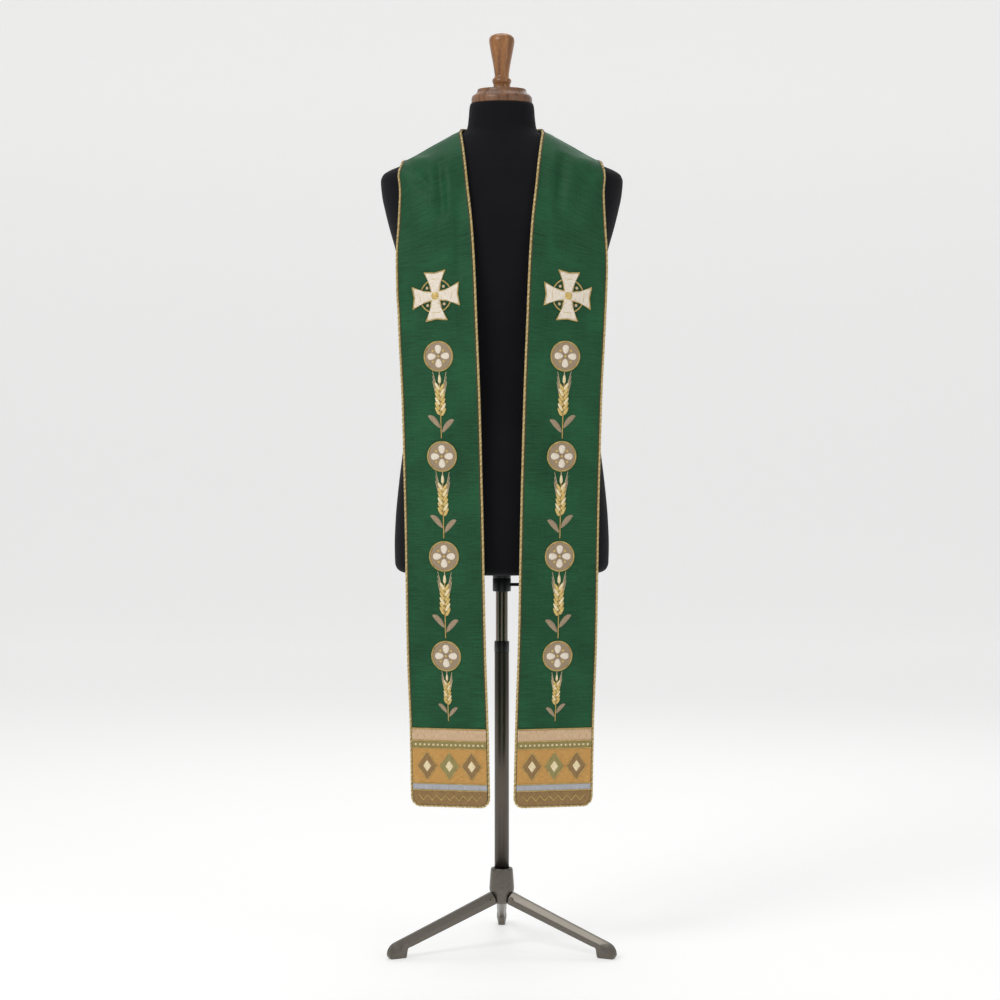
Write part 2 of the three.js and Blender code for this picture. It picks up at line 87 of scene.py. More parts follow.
camera_data = bpy.data.cameras.new("camera")
camera_data.sensor_width = 36
camera_data.lens = 36 * math.hypot(CAMERA_BACK, CAMERA_HEIGHT - AIM[2]) / FRAME_SPAN
camera = bpy.data.objects.new("camera", camera_data)
camera.location = (AIM[0], POLE_Y - CAMERA_BACK, CAMERA_HEIGHT)
pitch = math.atan2(CAMERA_HEIGHT - AIM[2], CAMERA_BACK)
camera.rotation_euler = (math.pi / 2 - pitch, 0, 0)
scene.collection.objects.link(camera)
scene.camera = camera


def softbox(name, place, aim, size, power):
    """A large soft lamp pointed at a place."""
    data = bpy.data.lights.new(name, "AREA")
    data.shape = "RECTANGLE"
    data.size, data.size_y = size
    data.energy = power
    lamp = bpy.data.objects.new(name, data)
    lamp.location = place
    way = np.array(aim) - np.array(place)
    lamp.rotation_euler = (math.atan2(math.hypot(way[0], way[1]), -way[2]), 0,
                           math.atan2(way[1], way[0]) - math.pi / 2)
    scene.collection.objects.link(lamp)


softbox("key_light", (-2.2, -2.6, 3.3), (0, 0, 1.1), (1.8, 1.8), 60)
softbox("fill_light", (2.6, -2.4, 2.2), (0, 0, 0.9), (1.8, 2.2), 15)
softbox("top_light", (0, 0.5, 3.6), (0, 0, 1.0), (1.6, 1.6), 15)
softbox("back_light", (0.4, 2.6, 2.6), (0, 0, 1.0), (2.0, 1.6), 14)
world = bpy.data.worlds.new("studio")
world.use_nodes = True
world.node_tree.nodes["Background"].inputs["Color"].default_value = linear("#f7f8fa")
world.node_tree.nodes["Background"].inputs["Strength"].default_value = 0.46
scene.world = world

SWEEP_HALF_WIDTH = 14.0
SWEEP_FRONT = -14.0
SWEEP_BACK = 5.8
SWEEP_RADIUS = 2.4
SWEEP_TOP = 11.0
sweep_line = [(SWEEP_FRONT, 0.0), (SWEEP_BACK, 0.0)]
for bend in np.linspace(0, math.pi / 2, 25)[1:]:
    sweep_line.append((SWEEP_BACK + SWEEP_RADIUS * math.sin(bend), SWEEP_RADIUS * (1 - math.cos(bend))))
sweep_line.append((SWEEP_BACK + SWEEP_RADIUS, SWEEP_TOP))
sweep_points = [(x, y, z) for y, z in sweep_line for x in (-SWEEP_HALF_WIDTH, SWEEP_HALF_WIDTH)]
sweep_mesh = bpy.data.meshes.new("paper_sweep")
sweep_mesh.from_pydata(sweep_points, [], [(2 * k, 2 * k + 1, 2 * k + 3, 2 * k + 2)
                                          for k in range(len(sweep_line) - 1)])
sweep_mesh.polygons.foreach_set("use_smooth", np.full(len(sweep_mesh.polygons), True))
sweep = bpy.data.objects.new("paper_sweep", sweep_mesh)
scene.collection.objects.link(sweep)
# Seamless studio paper, matt: a glow of its own stands for the lamps that wash it evenly.
paper, _, paper_shader = surface("studio_paper_rolled", Roughness=0.95, Specular_IOR_Level=0.1,
                                 Emission_Strength=0.40)
paper_shader.inputs["Base Color"].default_value = linear("#dddddc")
paper_shader.inputs["Emission Color"].default_value = linear("#fafaf9")
sweep_mesh.materials.append(paper)

# ---- dress form ----
# Moulded foam form under a tight black knitted cover, open only for the pole in its base.
# The cover is a fine jersey: matt, with a faint wale and a soft grey bloom where it turns away.

# Columns: height, half width, depth in front and behind, and squareness (2 is an ellipse).
FORM_ROWS = [
    [674.4, 172.0, 84.0, 92.0, 2.3],
    [677.0, 181.0, 93.0, 101.0, 2.3],
    [683.0, 188.0, 99.0, 107.5, 2.3],
    [692.0, 191.0, 101.0, 110.5, 2.3],
    [725.0, 191.8, 102.5, 113.0, 2.3],
    [770.0, 190.0, 104.0, 116.0, 2.3],
    [830.0, 184.5, 105.0, 117.0, 2.3],
    [890.0, 177.0, 104.0, 112.5, 2.3],
    [960.0, 168.5, 100.0, 103.0, 2.3],
    [1020.0, 162.5, 97.0, 95.5, 2.3],
    [1080.0, 161.0, 98.0, 93.0, 2.3],
    [1140.0, 166.0, 104.0, 97.0, 2.35],
    [1200.0, 177.0, 112.5, 105.0, 2.4],
    [1253.0, 190.0, 117.5, 112.5, 2.4],
    [1292.0, 201.0, 117.5, 117.0, 2.4],
    [1319.0, 207.6, 114.5, 118.5, 2.4],
    [1346.0, 213.2, 109.0, 117.5, 2.35],
    [1372.0, 215.5, 101.5, 113.0, 2.3],
    [1383.0, 211.5, 97.5, 110.0, 2.25],
    [1390.0, 202.0, 95.0, 107.5, 2.2],
    [1398.0, 183.0, 91.0, 104.5, 2.2],
    [1404.0, 165.0, 88.5, 102.0, 2.2],
    [1430.0, 118.5, 76.0, 90.0, 2.1],
    [1450.0, 82.5, 66.5, 77.5, 2.0],
    [1459.0, 67.5, 62.5, 70.5, 2.0],
    [1466.0, 61.8, 60.5, 66.0, 2.0],
    [1482.0, 59.3, 58.0, 61.0, 2.0],
    [1506.0, 57.0, 56.6, 57.2, 2.0],
    [1510.0, 55.4, 55.2, 55.6, 2.0],
]


def smooth_columns(keys, rows):
    """Smooth curves through every column of a table that never overshoot its rows."""
    keys, rows = np.array(keys, float), np.array(rows, float)
    gaps = np.diff(keys)[:, None]
    rises = np.diff(rows, axis=0) / gaps
    slopes = np.zeros_like(rows)
    slopes[0], slopes[-1] = rises[0], rises[-1]
    before, after = rises[:-1], rises[1:]
    weight_before, weight_after = 2 * gaps[1:] + gaps[:-1], gaps[1:] + 2 * gaps[:-1]
    same_way = before * after > 0
    safe_before, safe_after = np.where(same_way, before, 1), np.where(same_way, after, 1)
    slopes[1:-1] = np.where(same_way, (weight_before + weight_after)
                            / (weight_before / safe_before + weight_after / safe_after), 0)

    def read(key):
        key = np.clip(np.asarray(key, float), keys[0], keys[-1])
        i = np.clip(np.searchsorted(keys, key, side="right") - 1, 0, len(keys) - 2)
        step = (keys[i + 1] - keys[i])[..., None]
        t = (key[..., None] - keys[i][..., None]) / step
        return (rows[i] * (2 * t**3 - 3 * t**2 + 1) + step * slopes[i] * (t**3 - 2 * t**2 + t)
                + rows[i + 1] * (3 * t**2 - 2 * t**3) + step * slopes[i + 1] * (t**3 - t**2))
    return read


form_at = smooth_columns([row[0] for row in FORM_ROWS], [row[1:] for row in FORM_ROWS])


def piece(name, points, faces, materials, uvs, face_material=None):
    """A mesh object from points in mm about the pole, with UVs in metres for each face corner."""
    mesh = bpy.data.meshes.new(name)
    placed = np.asarray(points, float) * MM + np.array([0, POLE_Y, 0])
    mesh.from_pydata(placed.tolist(), [], np.asarray(faces).tolist()
                     if isinstance(faces, np.ndarray) else faces)
    for used in materials:
        mesh.materials.append(used)
    layer = mesh.uv_layers.new(name="UVMap")
    layer.data.foreach_set("uv", (np.asarray(uvs, float) * MM).astype(np.float32).ravel())
    if face_material is not None:
        mesh.polygons.foreach_set("material_index", np.asarray(face_material, np.int32))
    mesh.polygons.foreach_set("use_smooth", np.full(len(mesh.polygons), True))
    mesh.update()
    made = bpy.data.objects.new(name, mesh)
    scene.collection.objects.link(made)
    return made


def ring_faces(rows, count, start=0):
    """Quads between rings of equal count, wound so that they face outwards for turned pieces."""
    r, i = np.meshgrid(np.arange(rows - 1), np.arange(count), indexing="ij")
    a, b = r * count + i, r * count + (i + 1) % count
    return (np.stack([a, b, b + count, a + count], axis=-1).reshape(-1, 4) + start)


def lofted(name, rings, materials, around=None, along=None):
    """A closed body through rings (rows, count, 3), counter-clockwise seen from its far end."""
    rings = np.asarray(rings, float)
    rows, count = rings.shape[:2]
    faces = ring_faces(rows, count).tolist()
    around = np.arange(count + 1) if around is None else around
    along = np.arange(rows) if along is None else along
    r, i = np.meshgrid(np.arange(rows - 1), np.arange(count), indexing="ij")
    u = np.stack([around[i], around[i + 1], around[i + 1], around[i]], axis=-1)
    v = np.stack([along[r], along[r], along[r + 1], along[r + 1]], axis=-1)
    uvs = np.stack([u, v], axis=-1).reshape(-1, 2)
    flat = np.stack([around[:count], np.zeros(count)], axis=-1)
    faces.append(list(range(count))[::-1])
    faces.append([(rows - 1) * count + k for k in range(count)])
    return piece(name, rings.reshape(-1, 3), faces, materials, np.vstack([uvs, flat, flat]))


JERSEY_WALE = 1.1
# A wave texture repeats about 3.18 times in a metre at scale 1. Courses lie closer than wales.
WALE_REPEATS = 3.18
COURSE_REPEATS = 2.6

# Cotton jersey, knitted: nearly black and dead matt. The wale is drawn wider than real to show.
jersey, tree, shader = surface("cotton_jersey_knitted_black", Roughness=0.94, Sheen_Weight=0.03,
                               Specular_IOR_Level=0.22, Sheen_Roughness=0.45)
place = node(tree, "ShaderNodeUVMap")
wales = node(tree, "ShaderNodeTexWave", {"Vector": place.outputs["UV"],
             "Scale": 1 / (JERSEY_WALE * MM * WALE_REPEATS), "Distortion": 0.6, "Detail": 1.0},
             bands_direction="X")
courses = node(tree, "ShaderNodeTexWave", {"Vector": place.outputs["UV"],
               "Scale": 1 / (JERSEY_WALE * MM * COURSE_REPEATS), "Distortion": 0.5}, bands_direction="Y")
knit = node(tree, "ShaderNodeMath", {0: wales.outputs["Fac"], 1: courses.outputs["Fac"]},
            operation="MULTIPLY")
pile = node(tree, "ShaderNodeTexNoise", {"Vector": place.outputs["UV"], "Scale": 14.0, "Detail": 5.0})
tone = node(tree, "ShaderNodeMix", {"Factor": pile.outputs["Fac"], "A": linear("#08080b"),
            "B": linear("#111116")}, data_type="RGBA")
tree.links.new(tone.outputs["Result"], shader.inputs["Base Color"])
tree.links.new(node(tree, "ShaderNodeBump", {"Strength": 0.35, "Distance": 0.0004,
               "Height": knit.outputs[0]}).outputs["Normal"], shader.inputs["Normal"])

BORE_RADIUS = 11.4
BORE_TOP = 828.0
FORM_SIDES = 168
turns = np.linspace(0, 2 * math.pi, FORM_SIDES, endpoint=False)
heights = np.unique(np.concatenate([np.linspace(674.4, 700, 14), np.linspace(700, 1330, 84),
                                    np.linspace(1330, 1510, 70)]))
width, front, back, square = (form_at(heights)[:, k][:, None] for k in range(4))
cos, sin = np.cos(turns)[None, :], np.sin(turns)[None, :]
depth = np.where(sin < 0, front, back)
skin = np.stack([width * np.sign(cos) * abs(cos) ** (2 / square),
                 depth * np.sign(sin) * abs(sin) ** (2 / square),
                 np.repeat(heights[:, None], FORM_SIDES, axis=1)], axis=-1)
bore = [np.stack([BORE_RADIUS * cos[0], BORE_RADIUS * sin[0], np.full(FORM_SIDES, z)], axis=-1)
        for z in (BORE_TOP, 675.4, 674.4)]
girth = np.concatenate([[0], np.cumsum(np.hypot(*np.diff(
    np.vstack([skin[60], skin[60][:1]])[:, :2], axis=0).T))])
form_cover = lofted("form_cover", np.concatenate([np.array(bore), skin]), [jersey], girth,
                    np.concatenate([[0, 150, 153], 160 + heights - 674]))
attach(form_cover, "form")
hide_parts("form_body")

# ---- neck cap and finial ----
# Two pieces turned on a lathe: a walnut disc with an ogee edge that closes the neck, and a
# tapered knob on a bead above it. Both have a clear finish with a warm gloss.


def wood(name, dark, light, roughness, coat):
    """Turned hardwood: long grain streaks along the axis with fine pores, under clear lacquer."""
    made, tree, shader = surface(name, Roughness=roughness, Coat_Weight=coat, Coat_Roughness=0.12)
    place = node(tree, "ShaderNodeTexCoord")
    along = node(tree, "ShaderNodeMapping", {"Vector": place.outputs["Object"],
                 "Scale": (60.0, 60.0, 9.0)})
    streaks = node(tree, "ShaderNodeTexNoise", {"Vector": along.outputs["Vector"], "Scale": 1.0,
                   "Detail": 6.0, "Roughness": 0.6, "Distortion": 0.6})
    fine = node(tree, "ShaderNodeMapping", {"Vector": place.outputs["Object"],
                "Scale": (900.0, 900.0, 60.0)})
    pores = node(tree, "ShaderNodeTexNoise", {"Vector": fine.outputs["Vector"], "Scale": 1.0,
                 "Detail": 3.0})
    both = node(tree, "ShaderNodeMix", {"Factor": 0.3, "A": streaks.outputs["Fac"],
                "B": pores.outputs["Fac"]}, data_type="FLOAT")
    ramp = node(tree, "ShaderNodeValToRGB", {"Fac": both.outputs["Result"]})
    ramp.color_ramp.elements[0].position, ramp.color_ramp.elements[0].color = 0.36, linear(dark)
    ramp.color_ramp.elements[1].position, ramp.color_ramp.elements[1].color = 0.62, linear(light)
    tree.links.new(ramp.outputs["Color"], shader.inputs["Base Color"])
    tree.links.new(node(tree, "ShaderNodeBump", {"Strength": 0.12, "Distance": 0.0003,
                   "Height": pores.outputs["Fac"]}).outputs["Normal"], shader.inputs["Normal"])
    return made


def rounded(profile, reach, steps=5):
    """A profile of (radius, height, softness) with each soft corner turned into a short curve."""
    points = []
    for i, (r, z, soft) in enumerate(profile):
        here = np.array([r, z])
        if soft == 0 or i in (0, len(profile) - 1):
            points.append(here)
            continue
        ends = []
        for other in (profile[i - 1], profile[i + 1]):
            way = np.array(other[:2]) - here
            ends.append(here + way * min(0.48, soft * reach / np.hypot(*way)))
        for t in np.linspace(0, 1, steps):
            points.append((1 - t)**2 * ends[0] + 2 * t * (1 - t) * here + t**2 * ends[1])
    return np.array(points)


def turned(name, profile, materials, sides=96, closed=False):
    """A lathe piece about the pole from (radius, height) points going up; radius 0 is not used."""
    profile = np.array(profile, float)
    if closed:
        profile = np.vstack([profile, profile[:1]])
    around = np.linspace(0, 2 * math.pi, sides, endpoint=False)
    rings = np.stack([profile[:, :1] * np.cos(around), profile[:, :1] * np.sin(around),
                      np.repeat(profile[:, 1:2], sides, axis=1)], axis=-1)
    run = np.concatenate([[0], np.cumsum(np.hypot(*np.diff(profile, axis=0).T))])
    girth = np.linspace(0, 2 * math.pi * profile[:, 0].max(), sides + 1)
    if not closed:
        return lofted(name, rings, materials, girth, run)
    rows = len(profile) - 1
    faces = ring_faces(rows + 1, sides) % (rows * sides)
    return piece(name, rings[:-1].reshape(-1, 3), faces, materials,
                 np.tile([[0, 0], [1, 0], [1, 1], [0, 1]], (len(faces), 1)))


# Walnut, turned and lacquered: brown with darker grain and a soft gloss on the rims.
walnut = wood("walnut_turned_and_lacquered", "#482b17", "#8f6240", 0.46, 0.15)
neck_cap = turned("neck_cap_turned", rounded([
    (0.01, 1510.3, 0), (53.0, 1510.3, 0), (54.0, 1511.4, 0.8), (54.0, 1519.5, 1), (52.6, 1523.4, 1),
    (47.6, 1527.2, 1), (44.0, 1530.4, 1), (43.2, 1535.0, 1), (42.2, 1536.0, 0.6), (0.01, 1536.0, 0),
], 2.0), [walnut], 128)
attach(neck_cap, "form")
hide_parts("neck_cap")

# Cherry, turned and varnished: warmer and lighter, with brighter lights along its edges.
cherry = wood("cherry_turned_and_varnished", "#542d12", "#a8703a", 0.34, 0.3)
finial = turned("finial_turned", rounded([
    (0.01, 1536.3, 0), (15.4, 1536.3, 0), (14.8, 1541.0, 1), (15.0, 1544.5, 1), (16.6, 1547.6, 1),
    (17.2, 1551.0, 1), (16.4, 1554.0, 1), (13.4, 1556.4, 1), (12.6, 1560.0, 1), (13.4, 1567.0, 1),
    (15.4, 1580.0, 1), (18.2, 1594.0, 1), (20.6, 1607.0, 1), (22.7, 1619.0, 1), (23.0, 1623.5, 1),
    (21.2, 1628.6, 1), (16.0, 1632.8, 1), (8.0, 1635.3, 1), (0.01, 1636.0, 0),
], 6.0), [cherry], 96)
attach(finial, "form")
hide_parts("finial")

# ---- collar and thumb screw ----
# A turned steel collar under the form, enamelled satin black, with a threaded cross hole for the
# thumb screw whose knurled knob clamps the form on the pole.


def metal(name, dark, light, roughness, metallic=1.0, grain=(400.0, 400.0, 6.0), bump=0.05):
    """Metal, enamel or plastic: lighter and darker streaks or mottle, with a faint relief."""
    made, tree, shader = surface(name, Metallic=metallic)
    place = node(tree, "ShaderNodeTexCoord")
    along = node(tree, "ShaderNodeMapping", {"Vector": place.outputs["Object"], "Scale": grain})
    streaks = node(tree, "ShaderNodeTexNoise", {"Vector": along.outputs["Vector"], "Scale": 1.0,
                   "Detail": 5.0})
    tone = node(tree, "ShaderNodeMix", {"Factor": streaks.outputs["Fac"], "A": linear(dark),
                "B": linear(light)}, data_type="RGBA")
    rub = node(tree, "ShaderNodeMapRange", {"Value": streaks.outputs["Fac"],
               "To Min": roughness * 0.8, "To Max": roughness * 1.25})
    tree.links.new(tone.outputs["Result"], shader.inputs["Base Color"])
    tree.links.new(rub.outputs["Result"], shader.inputs["Roughness"])
    tree.links.new(node(tree, "ShaderNodeBump", {"Strength": bump, "Distance": 0.0004,
                   "Height": streaks.outputs["Fac"]}).outputs["Normal"], shader.inputs["Normal"])
    return made


# Steel, enamelled: black with a satin light, mottled faintly and evenly.
black_enamel = metal("steel_enamelled_satin_black", "#0b0b0d", "#161618", 0.42, 0.0,
                     (700.0, 700.0, 700.0))
INNER_RADIUS = 10.75
SCREW_HEIGHT = 653.0
collar = turned("collar_turned", [
    (11.1, 641.4), (11.5, 641.0), (15.2, 641.0), (16.1, 641.5), (16.4, 642.4), (16.4, 664.0),
    (15.9, 664.6), (15.9, 666.0), (16.4, 666.6), (16.4, 673.0), (15.6, 674.1), (11.1, 674.1),
], [black_enamel], 96, closed=True)
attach(collar, "form")
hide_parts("collar")

SCREW_SIDES = 120
KNURL_PITCH = 6
KNURL_DEPTH = 0.05
KNOB_RIM = 9.5
# The shank runs straight through the wall of the collar, where the threaded hole doesn't show.
screw_profile = np.array([
    (0.01, 11.1), (2.4, 11.1), (3.0, 11.8), (3.0, 59.0), (8.4, 59.0), (10.0, 60.0), (10.9, 61.6),
    (10.9, 67.6), (10.0, 69.2), (8.2, 70.0), (0.01, 70.0)])
around = np.linspace(0, 2 * math.pi, SCREW_SIDES, endpoint=False)
notched = np.arange(SCREW_SIDES) % KNURL_PITCH < KNURL_PITCH / 2
knurl = np.where(screw_profile[:, :1] > KNOB_RIM, 1 - KNURL_DEPTH * notched, 1.0)
screw_rings = np.stack([
    np.repeat(screw_profile[:, 1:2], SCREW_SIDES, axis=1),
    screw_profile[:, :1] * knurl * np.cos(around),
    screw_profile[:, :1] * knurl * np.sin(around) + SCREW_HEIGHT], axis=-1)
thumb_screw = lofted("thumb_screw_knurled", screw_rings, [black_enamel])
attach(thumb_screw, "screw")
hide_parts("thumb_screw")

# ---- poles and bush ----
# Drawn steel tube: the inner one polished and dark, sliding in a moulded black bush pressed on
# the outer one, which is blacked to a satin gunmetal.

# Steel tube, drawn and polished: fine lines along it and a long sharp reflection.
polished = metal("steel_tube_drawn_and_polished", "#5e564c", "#948a7c", 0.24)
inner_pole = turned("inner_pole_tube", [
    (0.01, 232.0), (10.0, 232.0), (INNER_RADIUS, 233.0), (INNER_RADIUS, 823.0), (10.0, 824.0),
    (0.01, 824.0)], [polished], 96)
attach(inner_pole, "pole")
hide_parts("inner_pole")

# Acetal, moulded: a black plastic with a low even shine.
acetal = metal("acetal_bush_moulded_black", "#111112", "#1f1e1e", 0.36, 0.0, (500.0, 500.0, 500.0))
bush = turned("pole_bush_moulded", [
    (11.1, 532.0), (13.2, 532.0), (13.4, 532.3), (13.4, 550.2), (12.9, 551.4), (12.0, 552.0),
    (11.1, 551.6)], [acetal], 96, closed=True)
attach(bush, "stand")
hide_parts("pole_bush")

# Steel tube, blacked: warm dark grey with a softer reflection.
gunmetal = metal("steel_tube_gunmetal_blacked", "#4d4740", "#69625a", 0.36, 0.9)
outer_pole = turned("outer_pole_tube", [
    (11.1, 90.6), (13.0, 90.6), (13.0, 531.0), (12.6, 531.7), (11.1, 531.7)],
    [gunmetal], 96, closed=True)
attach(outer_pole, "stand")
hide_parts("outer_pole")

# ---- tripod ----
# A tapered hub and three ridged legs of cast iron with rounded feet, sprayed a satin gunmetal.
# The castings keep a slight skin texture, and a steel bolt crosses the root of each leg.

# Cast iron, sprayed: grey-brown with a slight skin texture under the paint.
cast_iron = metal("cast_iron_sprayed_gunmetal", "#5f5a53", "#7a746b", 0.36, 0.8,
                  (260.0, 260.0, 260.0), 0.16)
hub = turned("hub_casting", rounded([
    (0.01, 77.6, 0), (11.0, 77.6, 1), (13.4, 80.0, 1), (21.2, 98.0, 1), (22.4, 105.0, 1),
    (21.0, 126.0, 1), (20.0, 139.0, 1), (19.0, 142.6, 1), (17.2, 143.0, 1), (14.6, 141.6, 1),
    (13.4, 137.0, 0), (13.4, 90.2, 0), (0.01, 90.2, 0)], 3.0), [cast_iron], 96)
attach(hub, "stand")
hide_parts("hub")

# Columns: top edge out and up, bottom edge out and up, half width at the ridge and at the edges.
LEG_ROWS = [
    [23.6, 100.0, 14.4, 78.6, 10.5, 5.0],
    [40.0, 93.8, 30.0, 73.0, 10.0, 4.6],
    [120.0, 64.0, 106.0, 46.3, 9.2, 4.2],
    [200.0, 34.6, 182.0, 19.8, 8.6, 4.0],
    [213.0, 29.8, 193.0, 16.0, 8.8, 4.4],
    [220.0, 26.6, 196.0, 3.0, 9.0, 5.0],
    [225.0, 22.6, 199.0, 0.0, 9.0, 6.0],
    [230.0, 15.0, 214.0, 0.0, 8.4, 6.0],
    [232.0, 7.5, 227.0, 0.0, 6.0, 4.5],
]
FIRST_LEG_TURN = -30
BOLT_OUT = 26
BOLT_UP = 90
BOLT_SIDES = 32
leg_at = smooth_columns(np.arange(len(LEG_ROWS)), LEG_ROWS)
for number in range(3):
    turn = math.radians(FIRST_LEG_TURN + 120 * number)
    rings = []
    for top_out, top_up, low_out, low_up, ridge, edge in leg_at(np.linspace(0, len(LEG_ROWS) - 1, 61)):
        section = [(0.0, -edge * 0.8), (0.42, -ridge * 0.97), (0.46, -ridge), (0.50, -ridge * 0.97),
                   (1.0, -edge)]
        section = section + [(share, -side) for share, side in section[::-1]]
        rings.append([(top_out + (low_out - top_out) * share, side, top_up + (low_up - top_up) * share)
                      for share, side in section])
    rings = np.array(rings)
    x, y = rings[..., 0].copy(), rings[..., 1].copy()
    rings[..., 0] = x * math.cos(turn) - y * math.sin(turn)
    rings[..., 1] = x * math.sin(turn) + y * math.cos(turn)
    leg = lofted(f"leg_casting_{number + 1}", rings[:, ::-1], [cast_iron])
    leg.data.polygons.foreach_set("use_smooth", np.full(len(leg.data.polygons), False))
    bevel = leg.modifiers.new("soft_edges", "BEVEL")
    bevel.width, bevel.segments, bevel.angle_limit = 0.6 * MM, 2, math.radians(25)
    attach(leg, "stand")
    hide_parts(f"leg_{number + 1}")
    side = 1 if number == 2 else -1
    bolt_profile = np.array([(0.01, 10.8), (3.2, 10.8), (3.2, 12.0), (2.6, 12.8), (1.3, 12.8), (1.1, 12.2),
                             (0.01, 12.2)])
    around = np.linspace(0, 2 * math.pi, BOLT_SIDES, endpoint=False)
    x = BOLT_OUT + bolt_profile[:, :1] * np.cos(around)
    z = BOLT_UP + bolt_profile[:, :1] * np.sin(around)
    y = np.repeat(bolt_profile[:, 1:2], BOLT_SIDES, axis=1) * side
    rings = np.stack([x * math.cos(turn) - y * math.sin(turn),
                      x * math.sin(turn) + y * math.cos(turn), z], axis=-1)
    bolt = lofted(f"leg_bolt_head_{number + 1}", rings if side < 0 else rings[:, ::-1], [polished])
    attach(bolt, "stand")
    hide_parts(f"leg_bolt_{number + 1}")

# ---- silk halves ----
# Each half of the stole is one band of green silk dupion over a firm interlining, mitred at the
# nape. It lies on the shoulders, breaks into soft troughs over the chest and hangs flat below.
# Dupion is woven with slubbed weft threads: fine uneven streaks across, over a low sheen.

# Columns: neck-side edge x, y, z, then shoulder-side edge x, y, z.
STOLE_ROWS = [
    [0.0, 73.0, 1454.0, 0.0, 119.0, 1338.0],
    [27.0, 68.0, 1461.0, 50.0, 115.0, 1359.0],
    [51.0, 49.0, 1464.5, 102.0, 95.0, 1382.0],
    [66.0, 23.0, 1462.5, 146.0, 54.0, 1397.0],
    [71.5, -3.0, 1459.0, 167.0, -4.0, 1405.5],
    [71.5, -30.0, 1451.0, 172.0, -36.0, 1397.0],
    [69.5, -58.0, 1434.0, 173.5, -60.0, 1376.0],
    [66.0, -86.0, 1402.0, 174.5, -76.0, 1345.0],
    [60.5, -108.0, 1352.0, 177.0, -82.0, 1301.0],
    [53.5, -120.0, 1290.0, 180.0, -84.0, 1252.0],
    [49.5, -124.0, 1225.0, 181.0, -86.0, 1206.0],
    [46.0, -125.5, 1130.0, 178.0, -88.0, 1120.0],
    [40.5, -125.5, 980.0, 171.5, -90.0, 976.0],
    [35.7, -125.5, 790.0, 166.8, -92.0, 788.0],
    [31.0, -125.0, 550.0, 163.0, -94.0, 550.0],
    [26.5, -125.0, 405.0, 158.0, -96.0, 405.0],
    [23.7, -125.0, 272.4, 155.7, -97.0, 272.4],
]
CLOTH_WALL = 2.0
CLOTH_CLEARANCE = 2.2
CLOTH_SOFTNESS = 4.0
HEM_CORNER = 14.0
SEAM_HALF_GAP = 0.15
middles = np.array([[(r[0] + r[3]) / 2, (r[1] + r[4]) / 2, (r[2] + r[5]) / 2] for r in STOLE_ROWS])
down_keys = np.concatenate([[0], np.cumsum(np.linalg.norm(np.diff(middles, axis=0), axis=1))])
STOLE_LENGTH = down_keys[-1]
stole_at = smooth_columns(down_keys, STOLE_ROWS)

# Folds of each half, in mm: where each starts and ends, its half width and its depth. A trough has
# a positive depth. The cloth stands off the form where they lie, so that none reaches the form.
# Columns: start down, start across, end down, end across, half width, depth.
FOLDS = {
    -1: [
        [215, 54, 304, 0, 9, 7.0], [278, -14, 352, -20, 9, 8.0], [196, -32, 203, 12, 5, 1.2],
        [340, -46, 450, -44, 11, 4.6], [455, 30, 508, 34, 16, 3.8], [500, 58, 545, 62, 13, 2.8],
        [372, 62, 428, 60, 14, -2.6], [240, 22, 262, -40, 16, -1.8], [640, -30, 840, -38, 20, 1.6],
        [820, 24, 1010, 30, 17, -1.3], [1080, 40, 1240, 44, 14, 1.1],
        [22, 14, 112, 30, 12, 1.7], [64, -32, 148, -22, 10, 1.3],
    ],
    1: [
        [218, 54, 298, 15, 10, 5.2], [266, -20, 350, -24, 10, 6.2], [198, -22, 206, 20, 5, 1.1],
        [345, -42, 475, -42, 12, 3.8], [485, 38, 565, 42, 16, 3.2], [380, 60, 440, 62, 14, -2.0],
        [236, 26, 256, -30, 16, -1.4], [660, 34, 860, 26, 18, 1.4], [800, -20, 980, -34, 16, -1.2],
        [1070, -36, 1230, -44, 15, 0.9], [34, 22, 118, 10, 12, 1.5], [72, -34, 152, -26, 10, 1.2],
    ],
}
# How far the cloth stands off: a little behind the neck, most over the chest.
EASE_ROWS = [[0, 0.0], [20, 0.0], [70, 1.6], [140, 0.5], [180, 0.3], [205, 1.4], [285, 8.0], [350, 7.2],
             [460, 4.4], [600, 2.4], [1100, 1.4], [1300, 0.0], [1400, 0.0]]
# The corded edges are firmer and lie closer than the middle does.
EDGE_HOLD = 0.62
ease_at = smooth_columns([row[0] for row in EASE_ROWS], [row[1:] for row in EASE_ROWS])


FORM_BASE_EDGE = 692.0


def outside_form(points):
    """How far points in mm are outside the form's skin, as a ratio of its section."""
    section = form_at(np.maximum(points[..., 2], FORM_BASE_EDGE))
    depth = np.where(points[..., 1] < 0, section[..., 1], section[..., 2])
    n = section[..., 3]
    wide, deep = abs(points[..., 0]) / section[..., 0], abs(points[..., 1]) / depth
    return (wide ** n + deep ** n) ** (1 / n) - 1


def form_distance(points):
    """Distance from the form's skin and the direction away from it."""
    probe = 0.5
    slope = np.stack([(outside_form(points + probe * axis) - outside_form(points - probe * axis))
                      / (2 * probe) for axis in np.eye(3)], axis=-1)
    steep = np.linalg.norm(slope, axis=-1)
    return outside_form(points) / steep, slope / steep[..., None]


def cloth_face(down, across):
    """The inner face of the band, just clear of the form, straight on past the hem."""
    inside = np.minimum(down, STOLE_LENGTH)
    row = stole_at(inside)
    inner, outer = row[..., :3], row[..., 3:]
    share = 0.5 + across / np.linalg.norm(outer - inner, axis=-1)
    points = inner + (outer - inner) * share[..., None]
    spare = form_distance(points)[0] - CLOTH_CLEARANCE
    wanted = CLOTH_CLEARANCE + (spare + np.hypot(spare, CLOTH_SOFTNESS)) / 2
    for _ in range(4):
        distance, away = form_distance(points)
        points = points + away * (wanted - distance)[..., None]
    points[..., 2] -= down - inside
    return points


